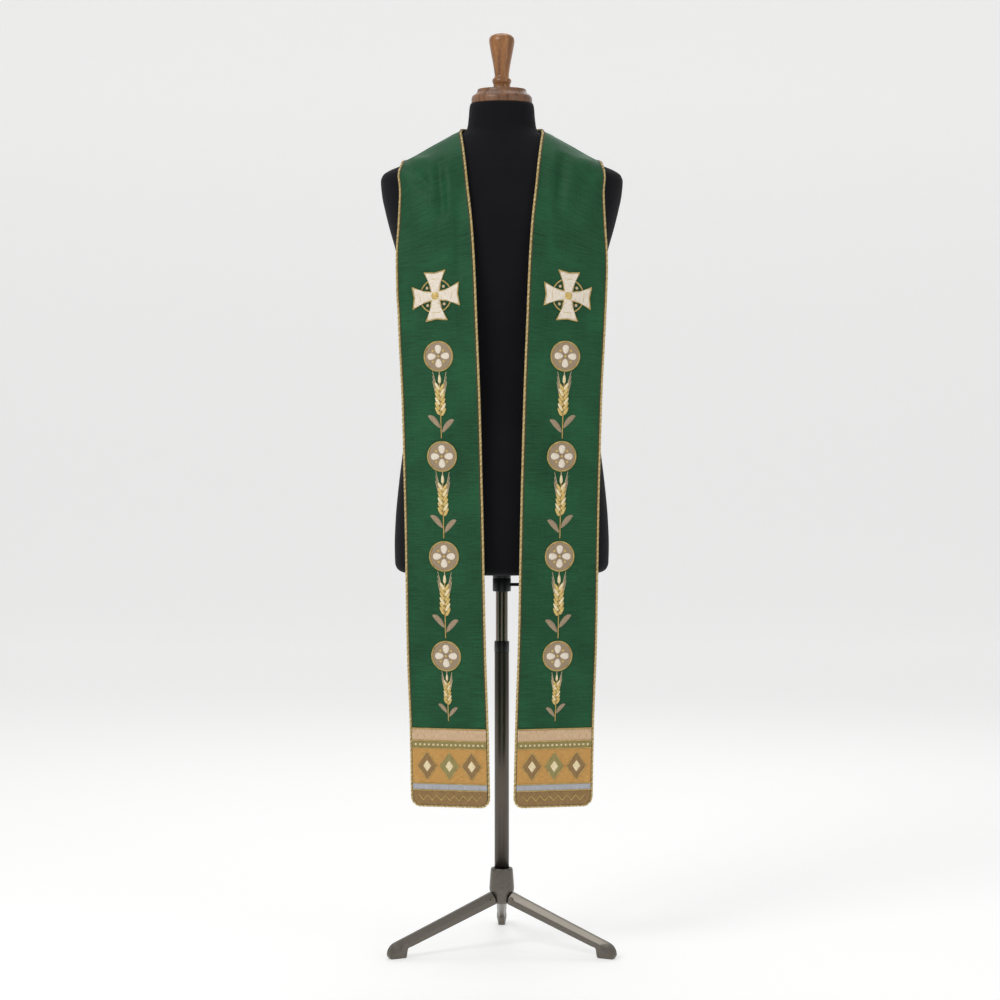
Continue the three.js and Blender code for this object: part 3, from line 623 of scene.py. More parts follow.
def folds(side, down, across):
    """How far the folded cloth stands off its plain face at places on the band."""
    held = 1 - EDGE_HOLD * np.clip((abs(across) - 36) / 24, 0, 1)
    total = ease_at(down)[..., 0] * held
    for start_down, start_across, end_down, end_across, half, depth in FOLDS[side]:
        way = np.array([end_down - start_down, end_across - start_across], float)
        share = ((down - start_down) * way[0] + (across - start_across) * way[1]) / (way @ way)
        inside = np.clip(share, 0, 1)
        off = np.hypot(down - start_down - inside * way[0], across - start_across - inside * way[1])
        taper = 1 - 0.45 * abs(2 * inside - 1) ** 3
        total -= depth * taper * (np.exp(-(off / half) ** 2) - 0.22 * np.exp(-((off - 1.9 * half)
                                                                             / half) ** 2))
    ripple = 0.45 * np.sin(down / 37 + side) * np.sin(across / 23 + down / 160)
    total += ripple * np.clip((down - 300) / 300, 0, 1) * np.clip((STOLE_LENGTH - down) / 150, 0, 1)
    return (total + np.hypot(total, 0.6)) / 2


def cloth_point(side, down, across, lift):
    """Points at places on the band, lifted off its inner face; all arguments broadcast."""
    down, across, lift = np.broadcast_arrays(np.asarray(down, float), np.asarray(across, float),
                                             np.asarray(lift, float))
    step = 1.0
    across_way = cloth_face(down, across + step) - cloth_face(down, across - step)
    seam = down < step
    down_way = cloth_face(down + step, across) - cloth_face(np.maximum(down - step, 0), across)
    down_way[seam] = (1, 0, 0)
    normal = -np.cross(across_way, down_way)
    normal /= np.linalg.norm(normal, axis=-1)[..., None]
    fold = folds(side, down, across) * np.clip(down / 20, 0, 1)
    points = cloth_face(down, across) + normal * (lift + fold)[..., None]
    points[..., 0] = np.where(seam, SEAM_HALF_GAP, np.maximum(points[..., 0], SEAM_HALF_GAP))
    points[..., 0] *= side
    return points


def width_at(down):
    """Width of the band across its own section."""
    row = stole_at(np.minimum(down, STOLE_LENGTH))
    return np.linalg.norm(row[..., 3:] - row[..., :3], axis=-1)


def cloth_wall(name, side, down, across, low, high, materials, uv_turn=False):
    """A closed wall of cloth over a grid of places (rows, columns), between two lifts."""
    rows, columns = down.shape
    top = cloth_point(side, down, across, high).reshape(-1, 3)
    bottom = cloth_point(side, down, across, low).reshape(-1, 3)
    r, c = np.meshgrid(np.arange(rows - 1), np.arange(columns - 1), indexing="ij")
    a = (r * columns + c).ravel()
    count = rows * columns
    front = np.stack([a, a + columns, a + columns + 1, a + 1], axis=-1)
    behind = np.stack([a, a + 1, a + columns + 1, a + columns], axis=-1) + count
    rim = np.concatenate([np.arange(columns - 1), np.arange(rows - 1) * columns + columns - 1,
                          (rows - 1) * columns + np.arange(columns - 1, 0, -1),
                          np.arange(rows - 1, 0, -1) * columns])
    after = np.roll(rim, -1)
    edge = np.stack([rim, after, after + count, rim + count], axis=-1)
    faces = np.concatenate([front, behind, edge])
    if side < 0:
        faces = faces[:, ::-1]
    places = np.stack([across.ravel(), down.ravel()], axis=-1)
    if uv_turn:
        places = places[:, ::-1]
    return piece(name, np.vstack([top, bottom]), faces, materials, places[faces.ravel() % count])


def band_places(downs, steps, margin=0.0):
    """A grid of places over the whole width, drawn in round the hem's corners."""
    downs = np.asarray(downs, float)
    near = np.clip(downs - (STOLE_LENGTH - HEM_CORNER), 0, HEM_CORNER)
    inset = HEM_CORNER - np.sqrt(np.maximum(HEM_CORNER ** 2 - near ** 2, 0))
    half = width_at(downs) / 2 - inset - margin
    share = np.linspace(-1, 1, steps + 1)
    return np.repeat(downs[:, None], steps + 1, axis=1), half[:, None] * share


SLUB_PITCH = 1.7
THREAD_PITCH = 0.55
# Silk dupion, woven: uneven streaks across it and a low sheen. The thread is drawn coarse to show.
silk, tree, shader = surface("silk_dupion_woven_green", Roughness=0.58, Sheen_Weight=0.09,
                             Sheen_Roughness=0.35, Specular_IOR_Level=0.2)
shader.inputs["Sheen Tint"].default_value = linear("#7fce8e")
place = node(tree, "ShaderNodeUVMap")
slub_place = node(tree, "ShaderNodeMapping", {"Vector": place.outputs["UV"],
                  "Scale": (26.0, 1 / (SLUB_PITCH * MM), 1.0)})
slubs = node(tree, "ShaderNodeTexNoise", {"Vector": slub_place.outputs["Vector"], "Scale": 1.0,
             "Detail": 3.0, "Roughness": 0.55, "Distortion": 0.15})
long_place = node(tree, "ShaderNodeMapping", {"Vector": place.outputs["UV"],
                  "Scale": (22.0, 330.0, 1.0)})
long_slubs = node(tree, "ShaderNodeTexNoise", {"Vector": long_place.outputs["Vector"], "Scale": 1.0,
                  "Detail": 4.0})
rare = node(tree, "ShaderNodeMapRange", {"Value": long_slubs.outputs["Fac"], "From Min": 0.60,
            "From Max": 0.76, "To Max": 0.55})
thread_place = node(tree, "ShaderNodeMapping", {"Vector": place.outputs["UV"],
                    "Scale": (120.0, 1 / (THREAD_PITCH * MM), 1.0)})
threads = node(tree, "ShaderNodeTexNoise", {"Vector": thread_place.outputs["Vector"], "Scale": 1.0,
               "Detail": 2.0})
warp_place = node(tree, "ShaderNodeMapping", {"Vector": place.outputs["UV"],
                  "Scale": (1 / (THREAD_PITCH * MM), 14.0, 1.0)})
warps = node(tree, "ShaderNodeTexNoise", {"Vector": warp_place.outputs["Vector"], "Scale": 1.0,
             "Detail": 2.0})
cloudy = node(tree, "ShaderNodeTexNoise", {"Vector": place.outputs["UV"], "Scale": 11.0, "Detail": 2.0})
weave = node(tree, "ShaderNodeMix", {"Factor": 0.45, "A": slubs.outputs["Fac"],
             "B": threads.outputs["Fac"]}, data_type="FLOAT")
weave = node(tree, "ShaderNodeMix", {"Factor": 0.2, "A": weave.outputs["Result"],
             "B": warps.outputs["Fac"]}, data_type="FLOAT")
weave = node(tree, "ShaderNodeMix", {"Factor": 0.25, "A": weave.outputs["Result"],
             "B": cloudy.outputs["Fac"]}, data_type="FLOAT")
ramp = node(tree, "ShaderNodeValToRGB", {"Fac": weave.outputs["Result"]})
ramp.color_ramp.elements[0].position, ramp.color_ramp.elements[0].color = 0.36, linear("#0f3520")
ramp.color_ramp.elements[1].position, ramp.color_ramp.elements[1].color = 0.66, linear("#26633d")
tone = node(tree, "ShaderNodeMix", {"Factor": rare.outputs["Result"], "A": ramp.outputs["Color"],
            "B": linear("#0c2a19")}, data_type="RGBA")
tree.links.new(tone.outputs["Result"], shader.inputs["Base Color"])
relief = node(tree, "ShaderNodeMath", {0: weave.outputs["Result"], 1: rare.outputs["Result"]},
              operation="ADD")
tree.links.new(node(tree, "ShaderNodeBump", {"Strength": 0.4, "Distance": 0.0005,
               "Height": relief.outputs[0]}).outputs["Normal"], shader.inputs["Normal"])

row_downs = np.concatenate([
    np.linspace(0, 480, 161), np.linspace(480, STOLE_LENGTH - HEM_CORNER, 141)[1:],
    STOLE_LENGTH - HEM_CORNER * (1 - np.sin(np.linspace(0, math.pi / 2, 11)))[1:]])
for label, side in (("left", -1), ("right", 1)):
    down, across = band_places(row_downs, 56)
    half = cloth_wall(f"silk_half_{label}", side, down, across, 0.0, CLOTH_WALL, [silk])
    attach(half, "form")
    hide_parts(f"stole_{label}")

# ---- edging cord ----
# Three-ply furnishing cord, two gold strands and one paler, sewn round both edges and the hem
# of each half with brown stitches. Its twist shows as short slanting glints.

STITCH_THREAD = 0.6


def thread(name, dark, light, roughness, metallic=0.0, sheen=0.3):
    """Silk or gilt thread: filaments along the stitch, drawn coarser than real so that they show."""
    made, tree, shader = surface(name, Roughness=roughness, Metallic=metallic, Sheen_Weight=sheen,
                                 Sheen_Roughness=0.4)
    place = node(tree, "ShaderNodeUVMap")
    lines = node(tree, "ShaderNodeMapping", {"Vector": place.outputs["UV"],
                 "Scale": (110.0, 1 / (STITCH_THREAD * MM), 1.0)})
    strands = node(tree, "ShaderNodeTexNoise", {"Vector": lines.outputs["Vector"], "Scale": 1.0,
                   "Detail": 2.5, "Distortion": 0.1})
    ramp = node(tree, "ShaderNodeValToRGB", {"Fac": strands.outputs["Fac"]})
    ramp.color_ramp.elements[0].position, ramp.color_ramp.elements[0].color = 0.32, linear(dark)
    ramp.color_ramp.elements[1].position, ramp.color_ramp.elements[1].color = 0.60, linear(light)
    tree.links.new(ramp.outputs["Color"], shader.inputs["Base Color"])
    tree.links.new(node(tree, "ShaderNodeBump", {"Strength": 0.5, "Distance": 0.0004,
                   "Height": strands.outputs["Fac"]}).outputs["Normal"], shader.inputs["Normal"])
    return made


# Gilt and silk threads, twisted: short slanting glints of gold between paler strands.
gold = thread("gilt_thread_twisted", "#a07e36", "#e8cc80", 0.42, 0.25)
pale_gold = thread("pale_gold_silk_twisted", "#c9ae6c", "#f8e9bf", 0.5, 0.1)
# Ivory silk, in the hem's knots and the hearts of its lozenges: warm off-white, softly shining.
ivory = thread("ivory_silk_cord_twisted", "#c4a870", "#fbeec6", 0.5)
# Brown silk thread: small stitches over the cord, and beside it a thin dark line that is painted shadow,
# laid where the cord shades the silk.
umber = thread("brown_silk_thread_and_painted_shadow", "#3d2b12", "#5e4520", 0.6)


def unit(vectors):
    return vectors / np.linalg.norm(vectors, axis=-1)[..., None]


def resample(points, pitch):
    """Evenly spaced points along a line of any dimension."""
    points = np.asarray(points, float)
    run = np.concatenate([[0], np.cumsum(np.linalg.norm(np.diff(points, axis=0), axis=1))])
    wanted = np.linspace(0, run[-1], max(3, int(run[-1] / pitch) + 1))
    return np.stack([np.interp(wanted, run, points[:, k]) for k in range(points.shape[1])], axis=-1)

STRAND_OVERLAP = 1.04


def rope(name, side, places, lift, radius, lay, strands, steps=8, sides=6):
    """A twisted cord laid on the band along (down, across) places, its middle at a lift."""
    places = resample(places, lay / steps)
    centre = cloth_point(side, places[:, 0], places[:, 1], lift)
    above = cloth_point(side, places[:, 0], places[:, 1], lift + 1.0)
    forward = unit(np.gradient(centre, axis=0))
    up = unit(above - centre)
    out = unit(np.cross(forward, up))
    up = np.cross(out, forward)
    count = len(strands)
    strand_radius = radius / (1 + 1 / math.sin(math.pi / count)) if count > 1 else radius
    offset = radius - strand_radius
    run = np.concatenate([[0], np.cumsum(np.linalg.norm(np.diff(centre, axis=0), axis=1))])
    points, faces, uvs, uses = [], [], [], []
    rows = len(centre)
    ring_turn = np.linspace(0, 2 * math.pi, sides, endpoint=False)
    block = ring_faces(rows, sides)
    for k in range(count):
        phase = 2 * math.pi * (run / lay + k / count)
        way = up * np.cos(phase)[:, None] + out * np.sin(phase)[:, None]
        middle = centre + offset * way
        along = unit(np.gradient(middle, axis=0))
        first = unit(way - along * np.sum(way * along, axis=1)[:, None])
        second = np.cross(along, first)
        rings = middle[:, None] + strand_radius * STRAND_OVERLAP * (
            np.cos(ring_turn)[None, :, None] * first[:, None]
            + np.sin(ring_turn)[None, :, None] * second[:, None])
        start = len(points) * rows * sides
        points.append(rings.reshape(-1, 3))
        quads = block + start
        r, i = np.meshgrid(np.arange(rows - 1), np.arange(sides), indexing="ij")
        u = np.stack([run[r], run[r], run[r + 1], run[r + 1]], axis=-1)
        v = np.stack([i, i + 1, i + 1, i], axis=-1) * (2 * math.pi * strand_radius / sides)
        faces += quads.tolist()
        uvs.append(np.stack([u, v], axis=-1).reshape(-1, 2))
        faces += [list(range(start, start + sides))[::-1],
                  list(range(start + (rows - 1) * sides, start + rows * sides))]
        uvs.append(np.zeros((2 * sides, 2)))
        uses += [k] * (len(quads) + 2)
    made = piece(name, np.vstack(points), faces, strands, np.vstack(uvs), uses)
    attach(made, "form")
    return made


def stitches(name, side, places, lift, reach, spacing, thickness, used, slope=0.0):
    """Small thread loops over a cord, evenly spaced along its (down, across) places."""
    places = resample(places, spacing)
    ahead = unit(np.gradient(places, axis=0))
    across = np.stack([-ahead[:, 1], ahead[:, 0]], axis=-1)
    bends = np.linspace(-0.05 * math.pi, 1.05 * math.pi, 7)
    ring = np.linspace(0, 2 * math.pi, 4, endpoint=False)
    out = reach * np.cos(bends)[None, :, None]
    spots = places[:, None] + across[:, None] * out + ahead[:, None] * out * slope
    high = lift + reach * np.sin(bends)[None, :]
    middle = cloth_point(side, spots[..., 0], spots[..., 1], high)
    along = unit(np.gradient(middle, axis=1))
    sideways = unit(np.cross(along, np.roll(middle, 1, axis=0) - middle + 1e-6))
    third = np.cross(along, sideways)
    rings = middle[:, :, None] + thickness * (np.cos(ring)[None, None, :, None] * sideways[:, :, None]
                                              + np.sin(ring)[None, None, :, None] * third[:, :, None])
    count, rows, sides = rings.shape[:3]
    block = ring_faces(rows, sides).tolist() + [list(range(sides))[::-1],
                                                [(rows - 1) * sides + k for k in range(sides)]]
    faces = [[v + k * rows * sides for v in face] for k in range(count) for face in block]
    corners = sum(len(face) for face in faces)
    made = piece(name, rings.reshape(-1, 3), faces, [used], np.zeros((corners, 2)))
    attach(made, "form")
    return made


CORD_RADIUS = 2.25
CORD_LAY = 10.0
CORD_REACH = CORD_RADIUS - 0.4
corner_turns = np.linspace(0, math.pi / 2, 12)
edge_downs = np.concatenate([np.linspace(0, 480, 160),
                             np.linspace(480, STOLE_LENGTH - HEM_CORNER, 120)[1:]])
edge_half = width_at(edge_downs) / 2 + CORD_REACH
hem_half = float(width_at(np.array(STOLE_LENGTH))) / 2
corner = np.stack([STOLE_LENGTH - HEM_CORNER + (HEM_CORNER + CORD_REACH) * np.sin(corner_turns),
                   hem_half - HEM_CORNER + (HEM_CORNER + CORD_REACH) * np.cos(corner_turns)], axis=-1)
outer_line = np.vstack([np.stack([edge_downs, edge_half], axis=-1), corner[1:]])
edge_line = np.vstack([outer_line, (outer_line * (1, -1))[::-1]])
for label, side in (("left", -1), ("right", 1)):
    cord = rope(f"edge_cord_twisted_{label}", side, edge_line, CLOTH_WALL / 2, CORD_RADIUS, CORD_LAY,
                [gold, pale_gold, gold], steps=9)
    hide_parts(f"edge_cord_{label}")
    # A thin dark line of brown thread along the inner side of the cord: painted shadow, where the cord
    # shades the silk.
    inner_line = edge_line - np.stack([np.where(edge_line[:, 0] > STOLE_LENGTH, CORD_REACH + 1.2, 0),
                                       np.sign(edge_line[:, 1]) * (CORD_REACH + 1.2)], axis=-1)
    inner_line[:, 0] = np.minimum(inner_line[:, 0], STOLE_LENGTH - 1.0)
    painted_cord_shadow = rope(f"edge_painted_shadow_line_{label}", side, inner_line, CLOTH_WALL + 0.15, 0.55, 6.0, [umber],
                       steps=3, sides=5)
    sewn = stitches(f"edge_stitches_{label}", side, edge_line[4:-4], CLOTH_WALL / 2,
                    CORD_RADIUS + 0.1, 6.5, 0.26, umber, 0.5)
    float(width_at(np.array(900.0))) * MM

# ---- hem bands ----
# Five strips of close machine satin stitch across each end, divided by couched gold cords, with
# three lozenges, a row of French knots and a zigzag. The threads stand upright in every strip
# but the ochre one, where they lie along it.

# Coloured silks in satin stitch: close parallel threads that catch the light in fine lines.
ochre = thread("ochre_silk_satin_stitch", "#a87530", "#cf9f55", 0.5)
olive = thread("olive_silk_satin_stitch", "#75683a", "#a09255", 0.5)
brown = thread("brown_silk_satin_stitch", "#6f5128", "#9c7a48", 0.5)
rose = thread("pink_beige_silk_satin_stitch", "#b08c68", "#d9bb96", 0.5)
blue = thread("grey_blue_silk_satin_stitch", "#8b8c92", "#b9babf", 0.42)
HEM_BANDS = [
    ("brown", 0.0, 26.0, brown, True), ("blue", 26.0, 38.0, blue, True),
    ("ochre", 38.0, 100.0, ochre, False), ("olive", 100.0, 113.0, olive, True),
    ("rose", 113.0, 134.0, rose, True),
]
APPLIQUE_LIFT = CLOTH_WALL + 0.3
APPLIQUE_WALL = 1.0
FACE_LIFT = APPLIQUE_LIFT + APPLIQUE_WALL


def pillow(name, side, above_hem, middle, outline, base, height, used, stitch_turn=None,
           edge_power=2.4):
    """A padded satin-stitch shape: a star-shaped outline in mm about its middle, domed."""
    outline = np.asarray(outline, float)
    count = len(outline)
    shares = np.array([1.0, 1.0, 0.97, 0.9, 0.78, 0.6, 0.4, 0.2])
    rise = np.concatenate([[0.0], height * (1 - shares[1:] ** edge_power * 0.75)])
    flat = outline[None] * shares[:, None, None]
    centre_down = STOLE_LENGTH - above_hem
    points = cloth_point(side, centre_down - flat[..., 1], middle + flat[..., 0], base + rise[:, None])
    peak = cloth_point(side, np.array([centre_down]), np.array([middle]), base + height)
    under = cloth_point(side, np.array([centre_down]), np.array([middle]), base)
    total = len(shares) * count
    faces = ring_faces(len(shares), count).tolist()
    last = (len(shares) - 1) * count
    faces += [[last + i, last + (i + 1) % count, total] for i in range(count)]
    faces += [[(i + 1) % count, i, total + 1] for i in range(count)]
    if side < 0:
        faces = [face[::-1] for face in faces]
    spots = np.vstack([flat.reshape(-1, 2), [[0, 0], [0, 0]]])
    uvs = []
    for face in faces:
        corner_spots = spots[face]
        turn = 0.0 if stitch_turn is None else stitch_turn(*corner_spots.mean(axis=0))
        c, s = math.cos(turn), math.sin(turn)
        uvs.append(np.stack([corner_spots[:, 0] * c + corner_spots[:, 1] * s,
                             -corner_spots[:, 0] * s + corner_spots[:, 1] * c], axis=-1))
    made = piece(name, np.vstack([points.reshape(-1, 3), peak, under]), faces, [used], np.vstack(uvs))
    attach(made, "form")
    return made


def edge_points(corners, spacing=1.5):
    """A closed outline through straight corners, with points close enough to bend with the cloth."""
    corners = np.asarray(corners, float)
    points = []
    for a, b in zip(corners, np.roll(corners, -1, axis=0)):
        steps = max(2, int(np.linalg.norm(b - a) / spacing))
        points += [a + (b - a) * t for t in np.linspace(0, 1, steps, endpoint=False)]
    return np.array(points)


def on_cloth(outline, above_hem, middle=0.0):
    """(down, across) places of an outline in mm about its middle."""
    outline = np.asarray(outline, float)
    return np.stack([STOLE_LENGTH - above_hem - outline[:, 1], middle + outline[:, 0]], axis=-1)


def dots(name, side, spots, lift, radius, used):
    """French knots: small wound domes at (down, across) places."""
    spots = np.asarray(spots, float)
    around = np.linspace(0, 2 * math.pi, 10, endpoint=False)
    rises = [(1.0, -0.1), (1.08, 0.35), (0.8, 0.8), (0.3, 1.0)]
    rings = np.stack([cloth_point(
        side, spots[:, :1] + radius * out * np.sin(around), spots[:, 1:] + radius * out * np.cos(around),
        lift + radius * up) for out, up in rises], axis=1)
    count, rows, sides = rings.shape[:3]
    block = ring_faces(rows, sides)[:, ::-1].tolist() + [
        list(range(sides)), [(rows - 1) * sides + k for k in range(sides)][::-1]]
    faces = [[v + k * rows * sides for v in face] for k in range(count) for face in block]
    if side < 0:
        faces = [face[::-1] for face in faces]
    corners = sum(len(face) for face in faces)
    made = piece(name, rings.reshape(-1, 3), faces, [used],
                 np.random.default_rng(7).uniform(0, 40, (corners, 2)))
    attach(made, "form")
    return made


LOZENGE_ABOVE_HEM = 69.0
LOZENGE_PITCH = 40.0
KNOTS_ABOVE_HEM = 106.5
KNOT_PITCH = 8.0
ZIGZAG_ABOVE_HEM = 13.0
ZIGZAG_REACH = 4.5
HEM_LINE_HEIGHTS = (26.0, 38.0, 100.0, 113.0, 134.6)
LOZENGE = [(17.0, 0), (0, 24.0), (-17.0, 0), (0, -24.0)]
for label, side in (("left", -1), ("right", 1)):
    for band, low, high, used, upright in HEM_BANDS:
        bottom, top = low + 0.15, high - 0.15
        downs = STOLE_LENGTH - np.linspace(top, max(bottom, 0.0), max(5, int((top - bottom) / 1.6)))
        if low == 0:
            rounds = STOLE_LENGTH - HEM_CORNER * (1 - np.sin(np.linspace(0, math.pi / 2, 10)))
            downs = np.concatenate([STOLE_LENGTH - np.linspace(top, HEM_CORNER, 7)[:-1], rounds])
            downs[-1] -= 0.6
        down, across = band_places(downs, 48, 0.6)
        strip = cloth_wall(f"hem_strip_{band}_{label}", side, down, across, APPLIQUE_LIFT, FACE_LIFT,
                           [used], upright)
        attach(strip, "form")
        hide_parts(f"hem_band_{band}_{label}")
    for number, above in enumerate(HEM_LINE_HEIGHTS):
        half = hem_half - 0.8
        line = np.array([[STOLE_LENGTH - above, -half], [STOLE_LENGTH - above, half]])
        rope(f"hem_line_{number + 1}_{label}", side, line, FACE_LIFT + 0.35, 1.25, 5.0, [gold, gold])
    for number in range(3):
        middle = (number - 1) * LOZENGE_PITCH
        shape = edge_points(LOZENGE)
        gem = pillow(f"lozenge_stitched_{number + 1}_{label}", side, LOZENGE_ABOVE_HEM, middle, shape,
                     FACE_LIFT + 0.2, 1.1, olive if number == 1 else brown,
                     lambda x, y: math.pi / 2)
        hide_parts(f"lozenge_{number + 1}_{label}")
        rim = np.vstack([shape, shape[:1]]) * 1.03
        rope(f"lozenge_cord_{number + 1}_{label}", side, on_cloth(rim, LOZENGE_ABOVE_HEM, middle),
             FACE_LIFT + 0.5, 0.95, 4.0, [gold, gold])
        heart = edge_points(np.array(LOZENGE) * 0.42, 1.0)
        pillow(f"lozenge_heart_{number + 1}_{label}", side, LOZENGE_ABOVE_HEM, middle, heart,
               FACE_LIFT + 1.15, 0.9, ivory)
    dots(f"hem_knots_{label}", side,
         [(STOLE_LENGTH - KNOTS_ABOVE_HEM, x) for x in np.arange(-60, 61, KNOT_PITCH)],
         FACE_LIFT + 0.1, 1.9, ivory)
    zigzag = [(STOLE_LENGTH - ZIGZAG_ABOVE_HEM - ZIGZAG_REACH * (-1) ** k, x)
              for k, x in enumerate(np.arange(-56, 57, KNOT_PITCH))]
    rope(f"hem_zigzag_{label}", side, zigzag, FACE_LIFT + 0.3, 1.0, 4.2, [gold, gold])

# ---- cross ----
# An equal-armed cross with widening arms, worked in cream satin stitch over padding, each arm
# stitched across, outlined with couched gold cord over a gold ring, with a gold boss and four knots.

# Cream, beige and taupe silks in satin stitch: off-white, sand and brown-grey with fine lines.
cream = thread("cream_silk_satin_stitch", "#cfbda2", "#f4eadb", 0.5)
beige = thread("beige_silk_satin_stitch", "#b3926f", "#dcc3a2", 0.5)
taupe = thread("taupe_silk_satin_stitch", "#7d6950", "#ac9678", 0.5)
CROSS_ABOVE_HEM = 893.0
CROSS_RING_RADIUS = 29.0
CROSS_BOSS_RADIUS = 7.0
CROSS_KNOT_REACH = 21.5
cross_corners = []
for arm in range(4):
    turn = arm * math.pi / 2
    for out, off in ((7.5, -7.5), (26.0, -10.9), (42.0, -19.0), (39.1, 0.0), (42.0, 19.0), (26.0, 10.9)):
        cross_corners.append((out * math.cos(turn) - off * math.sin(turn),
                              out * math.sin(turn) + off * math.cos(turn)))
circle = np.linspace(0, 2 * math.pi, 73)
round_line = np.stack([np.cos(circle), np.sin(circle)], axis=-1)
for label, side in (("left", -1), ("right", 1)):
    rope(f"cross_ring_{label}", side, on_cloth(round_line * CROSS_RING_RADIUS, CROSS_ABOVE_HEM),
         CLOTH_WALL + 1.1, 1.5, 5.0, [gold, gold])
    shape = edge_points(cross_corners, 1.6)
    cross = pillow(f"cross_stitched_{label}", side, CROSS_ABOVE_HEM, 0.0, shape, APPLIQUE_LIFT, 2.9, cream,
                   lambda x, y: math.pi / 2 if abs(x) > abs(y) else 0.0)
    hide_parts(f"cross_{label}")
    rope(f"cross_cord_{label}", side, on_cloth(np.vstack([shape, shape[:1]]) * 1.02, CROSS_ABOVE_HEM),
         APPLIQUE_LIFT + 0.9, 1.15, 4.6, [gold, gold])
    pillow(f"cross_boss_{label}", side, CROSS_ABOVE_HEM, 0.0, round_line[:-1] * CROSS_BOSS_RADIUS,
           APPLIQUE_LIFT + 2.2, 2.2, gold)
    small = np.array([(CROSS_KNOT_REACH * math.cos(t), CROSS_KNOT_REACH * math.sin(t))
                      for t in np.radians((45, 135, 225, 315))])
    dots(f"cross_knots_{label}", side, on_cloth(small, CROSS_ABOVE_HEM), CLOTH_WALL + 0.2, 2.6, beige)

# ---- medallions ----
# Four roundels down each half: a taupe satin-stitch ground inside a gold cord, with four cream
# petals, and gold knots at the heart and between the petals.
MEDALLION_HEIGHTS = (788.0, 613.0, 438.0, 263.0)
MEDALLION_RADIUS = 25.0
PETAL_REACH = 12.2
KNOT_REACH = 13.6
petal_turn = np.linspace(0, 2 * math.pi, 40, endpoint=False)
for label, side in (("left", -1), ("right", 1)):
    for number, above in enumerate(MEDALLION_HEIGHTS):
        ground = pillow(f"medallion_ground_{number + 1}_{label}", side, above, 0.0,
                        round_line[:-1] * MEDALLION_RADIUS, APPLIQUE_LIFT, 1.1, taupe,
                        lambda x, y: math.atan2(y, x), 6.0)
        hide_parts(f"medallion_{number + 1}_{label}")
        rope(f"medallion_cord_{number + 1}_{label}", side,
             on_cloth(round_line * (MEDALLION_RADIUS + 0.6), above), APPLIQUE_LIFT + 0.8, 1.5, 5.0,
             [gold, gold])
        for petal in range(4):
            turn = petal * math.pi / 2
            shape = np.stack([7.6 * np.cos(petal_turn), 5.6 * np.sin(petal_turn)
                              * (1 + 0.25 * np.cos(petal_turn))], axis=-1)
            spin = np.array([[math.cos(turn), math.sin(turn)], [-math.sin(turn), math.cos(turn)]])
            shape = shape @ spin
            out = PETAL_REACH * np.array([math.cos(turn), math.sin(turn)])
            pillow(f"petal_{petal + 1}_{number + 1}_{label}", side, above + out[1], out[0], shape,
                   APPLIQUE_LIFT + 1.0, 1.7, cream,
                   lambda x, y, turn=turn: turn + math.pi / 2)
        tips = np.array([(KNOT_REACH * math.cos(t), KNOT_REACH * math.sin(t))
                         for t in np.radians((45, 135, 225, 315))])
        dots(f"medallion_knots_{number + 1}_{label}", side,
             np.vstack([on_cloth(tips, above), on_cloth([(0.0, 0.0)], above)]), APPLIQUE_LIFT + 1.1, 2.1,
             gold)

# ---- wheat ears ----
# Below each roundel, an upright ear of wheat: a couched gold stalk, two rows of padded gold
# grains with a fine beard, and two taupe leaves that curl out from the stalk.
WHEAT_HEIGHTS = (700.5, 525.5, 350.5, 190.0)
LOWEST_EAR_SIZE = 0.74


def blade(name, side, above_hem, line, halves_wide, base, height, used):
    """A satin-stitch leaf or grain along a line in mm, lens-shaped across, closed at its tips."""
    line, halves_wide = np.asarray(line, float), np.asarray(halves_wide, float)
    ahead = unit(np.gradient(line, axis=0))
    across = np.stack([ahead[:, 1], -ahead[:, 0]], axis=-1)
    section = np.linspace(0, math.pi, 7)
    shares = np.concatenate([np.cos(section), [-0.5, 0.5]])
    rise = np.concatenate([np.sin(section), [-0.12, -0.12]])
    spots = line[:, None] + across[:, None] * (halves_wide[:, None] * shares)[..., None]
    thick = height * np.minimum(1, halves_wide / halves_wide.max() * 1.2)
    lifts = base + thick[:, None] * rise
    rings = cloth_point(side, STOLE_LENGTH - above_hem - spots[..., 1], spots[..., 0], lifts)
    run = np.concatenate([[0], np.cumsum(np.linalg.norm(np.diff(line, axis=0), axis=1))])
    count = len(shares)
    girth = np.linspace(0, 4 * halves_wide.max(), count + 1)
    if side > 0:
        rings = rings[:, ::-1]
    made = lofted(name, rings, [used], girth, run)
    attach(made, "form")
    return made


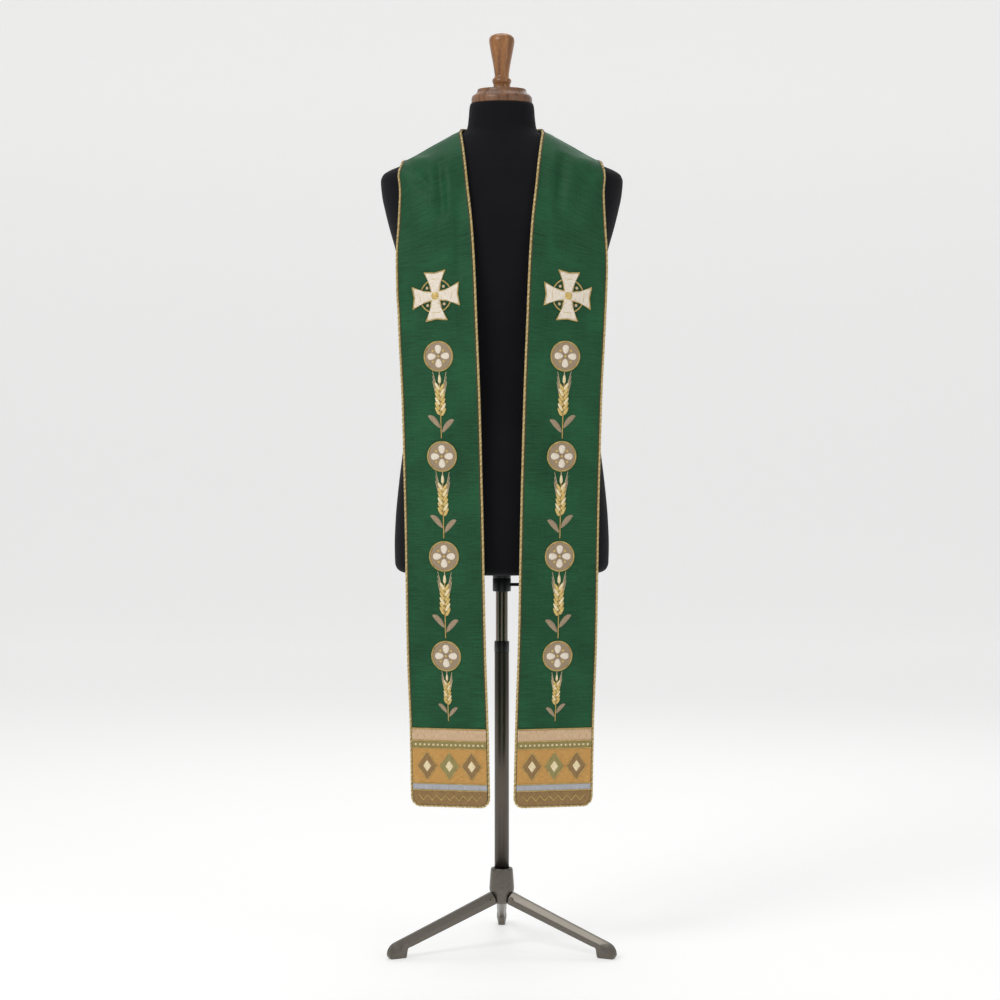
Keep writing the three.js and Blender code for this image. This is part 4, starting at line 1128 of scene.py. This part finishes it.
GRAIN_HALF_LENGTH = 8.2
GRAIN_HALF_WIDTH = 2.9
GRAIN_PITCH = 8.6
GRAIN_ROWS = 6
GRAIN_LEAN = 30.0
along_blade = np.linspace(-1, 1, 11)
leaf_share = np.linspace(0, 1, 19)
for label, side in (("left", -1), ("right", 1)):
    for number, above in enumerate(WHEAT_HEIGHTS):
        size = 1.0 if number < 3 else LOWEST_EAR_SIZE
        stalk = np.array([(0.0, y) for y in np.linspace(-56, 44, 24)]) * size
        rope(f"stalk_{number + 1}_{label}", side, on_cloth(stalk, above), CLOTH_WALL + 0.7, 1.15, 5.0,
             [gold, gold])
        grains = [(0.0, -4.0 + GRAIN_PITCH * GRAIN_ROWS, 0.0)]
        grains += [(way * (5.4 - 0.25 * k), -10.0 + GRAIN_PITCH * k + 2.0 * (way > 0), way * GRAIN_LEAN)
                   for k in range(GRAIN_ROWS) for way in (-1, 1)]
        for k, (x, y, lean) in enumerate(grains):
            lean = math.radians(lean)
            way = np.array([math.sin(lean), math.cos(lean)])
            line = (np.array([x, y]) + GRAIN_HALF_LENGTH * along_blade[:, None] * way) * size
            wide = GRAIN_HALF_WIDTH * np.sqrt(np.maximum(1 - along_blade**2, 0.02))
            wide *= 1 - 0.25 * along_blade
            blade(f"grain_{k + 1}_{number + 1}_{label}", side, above, line, wide * size,
                  CLOTH_WALL + 0.3 + 0.05 * k, 2.3, gold if k % 3 else pale_gold)
            if k in (0, 7, 8, 9, 10, 11, 12):
                tip = np.array([x, y]) + 6.5 * way
                fan = math.radians((x > 0) * 13.0 - (x < 0) * 13.0)
                beard_way = np.array([math.sin(fan), math.cos(fan)])
                beard = (tip + 11.0 * (along_blade[:, None] + 1) * beard_way) * size
                blade(f"beard_{k + 1}_{number + 1}_{label}", side, above, beard,
                      0.6 - 0.2 * along_blade, CLOTH_WALL + 0.05, 0.8, beige)
        for way, foot, hand in ((-1, -46.0, "near"), (1, -38.0, "far")):
            line = np.stack([way * (1.5 + 27 * leaf_share - 5 * leaf_share**2),
                             foot + 38 * leaf_share - 17 * leaf_share**2.4], axis=-1) * size
            wide = size * (0.5 + 4.4 * np.sin(math.pi * leaf_share**0.85) ** 0.8)
            blade(f"leaf_{hand}_{number + 1}_{label}", side, above, line, wide, CLOTH_WALL + 0.1, 1.6,
                  taupe)
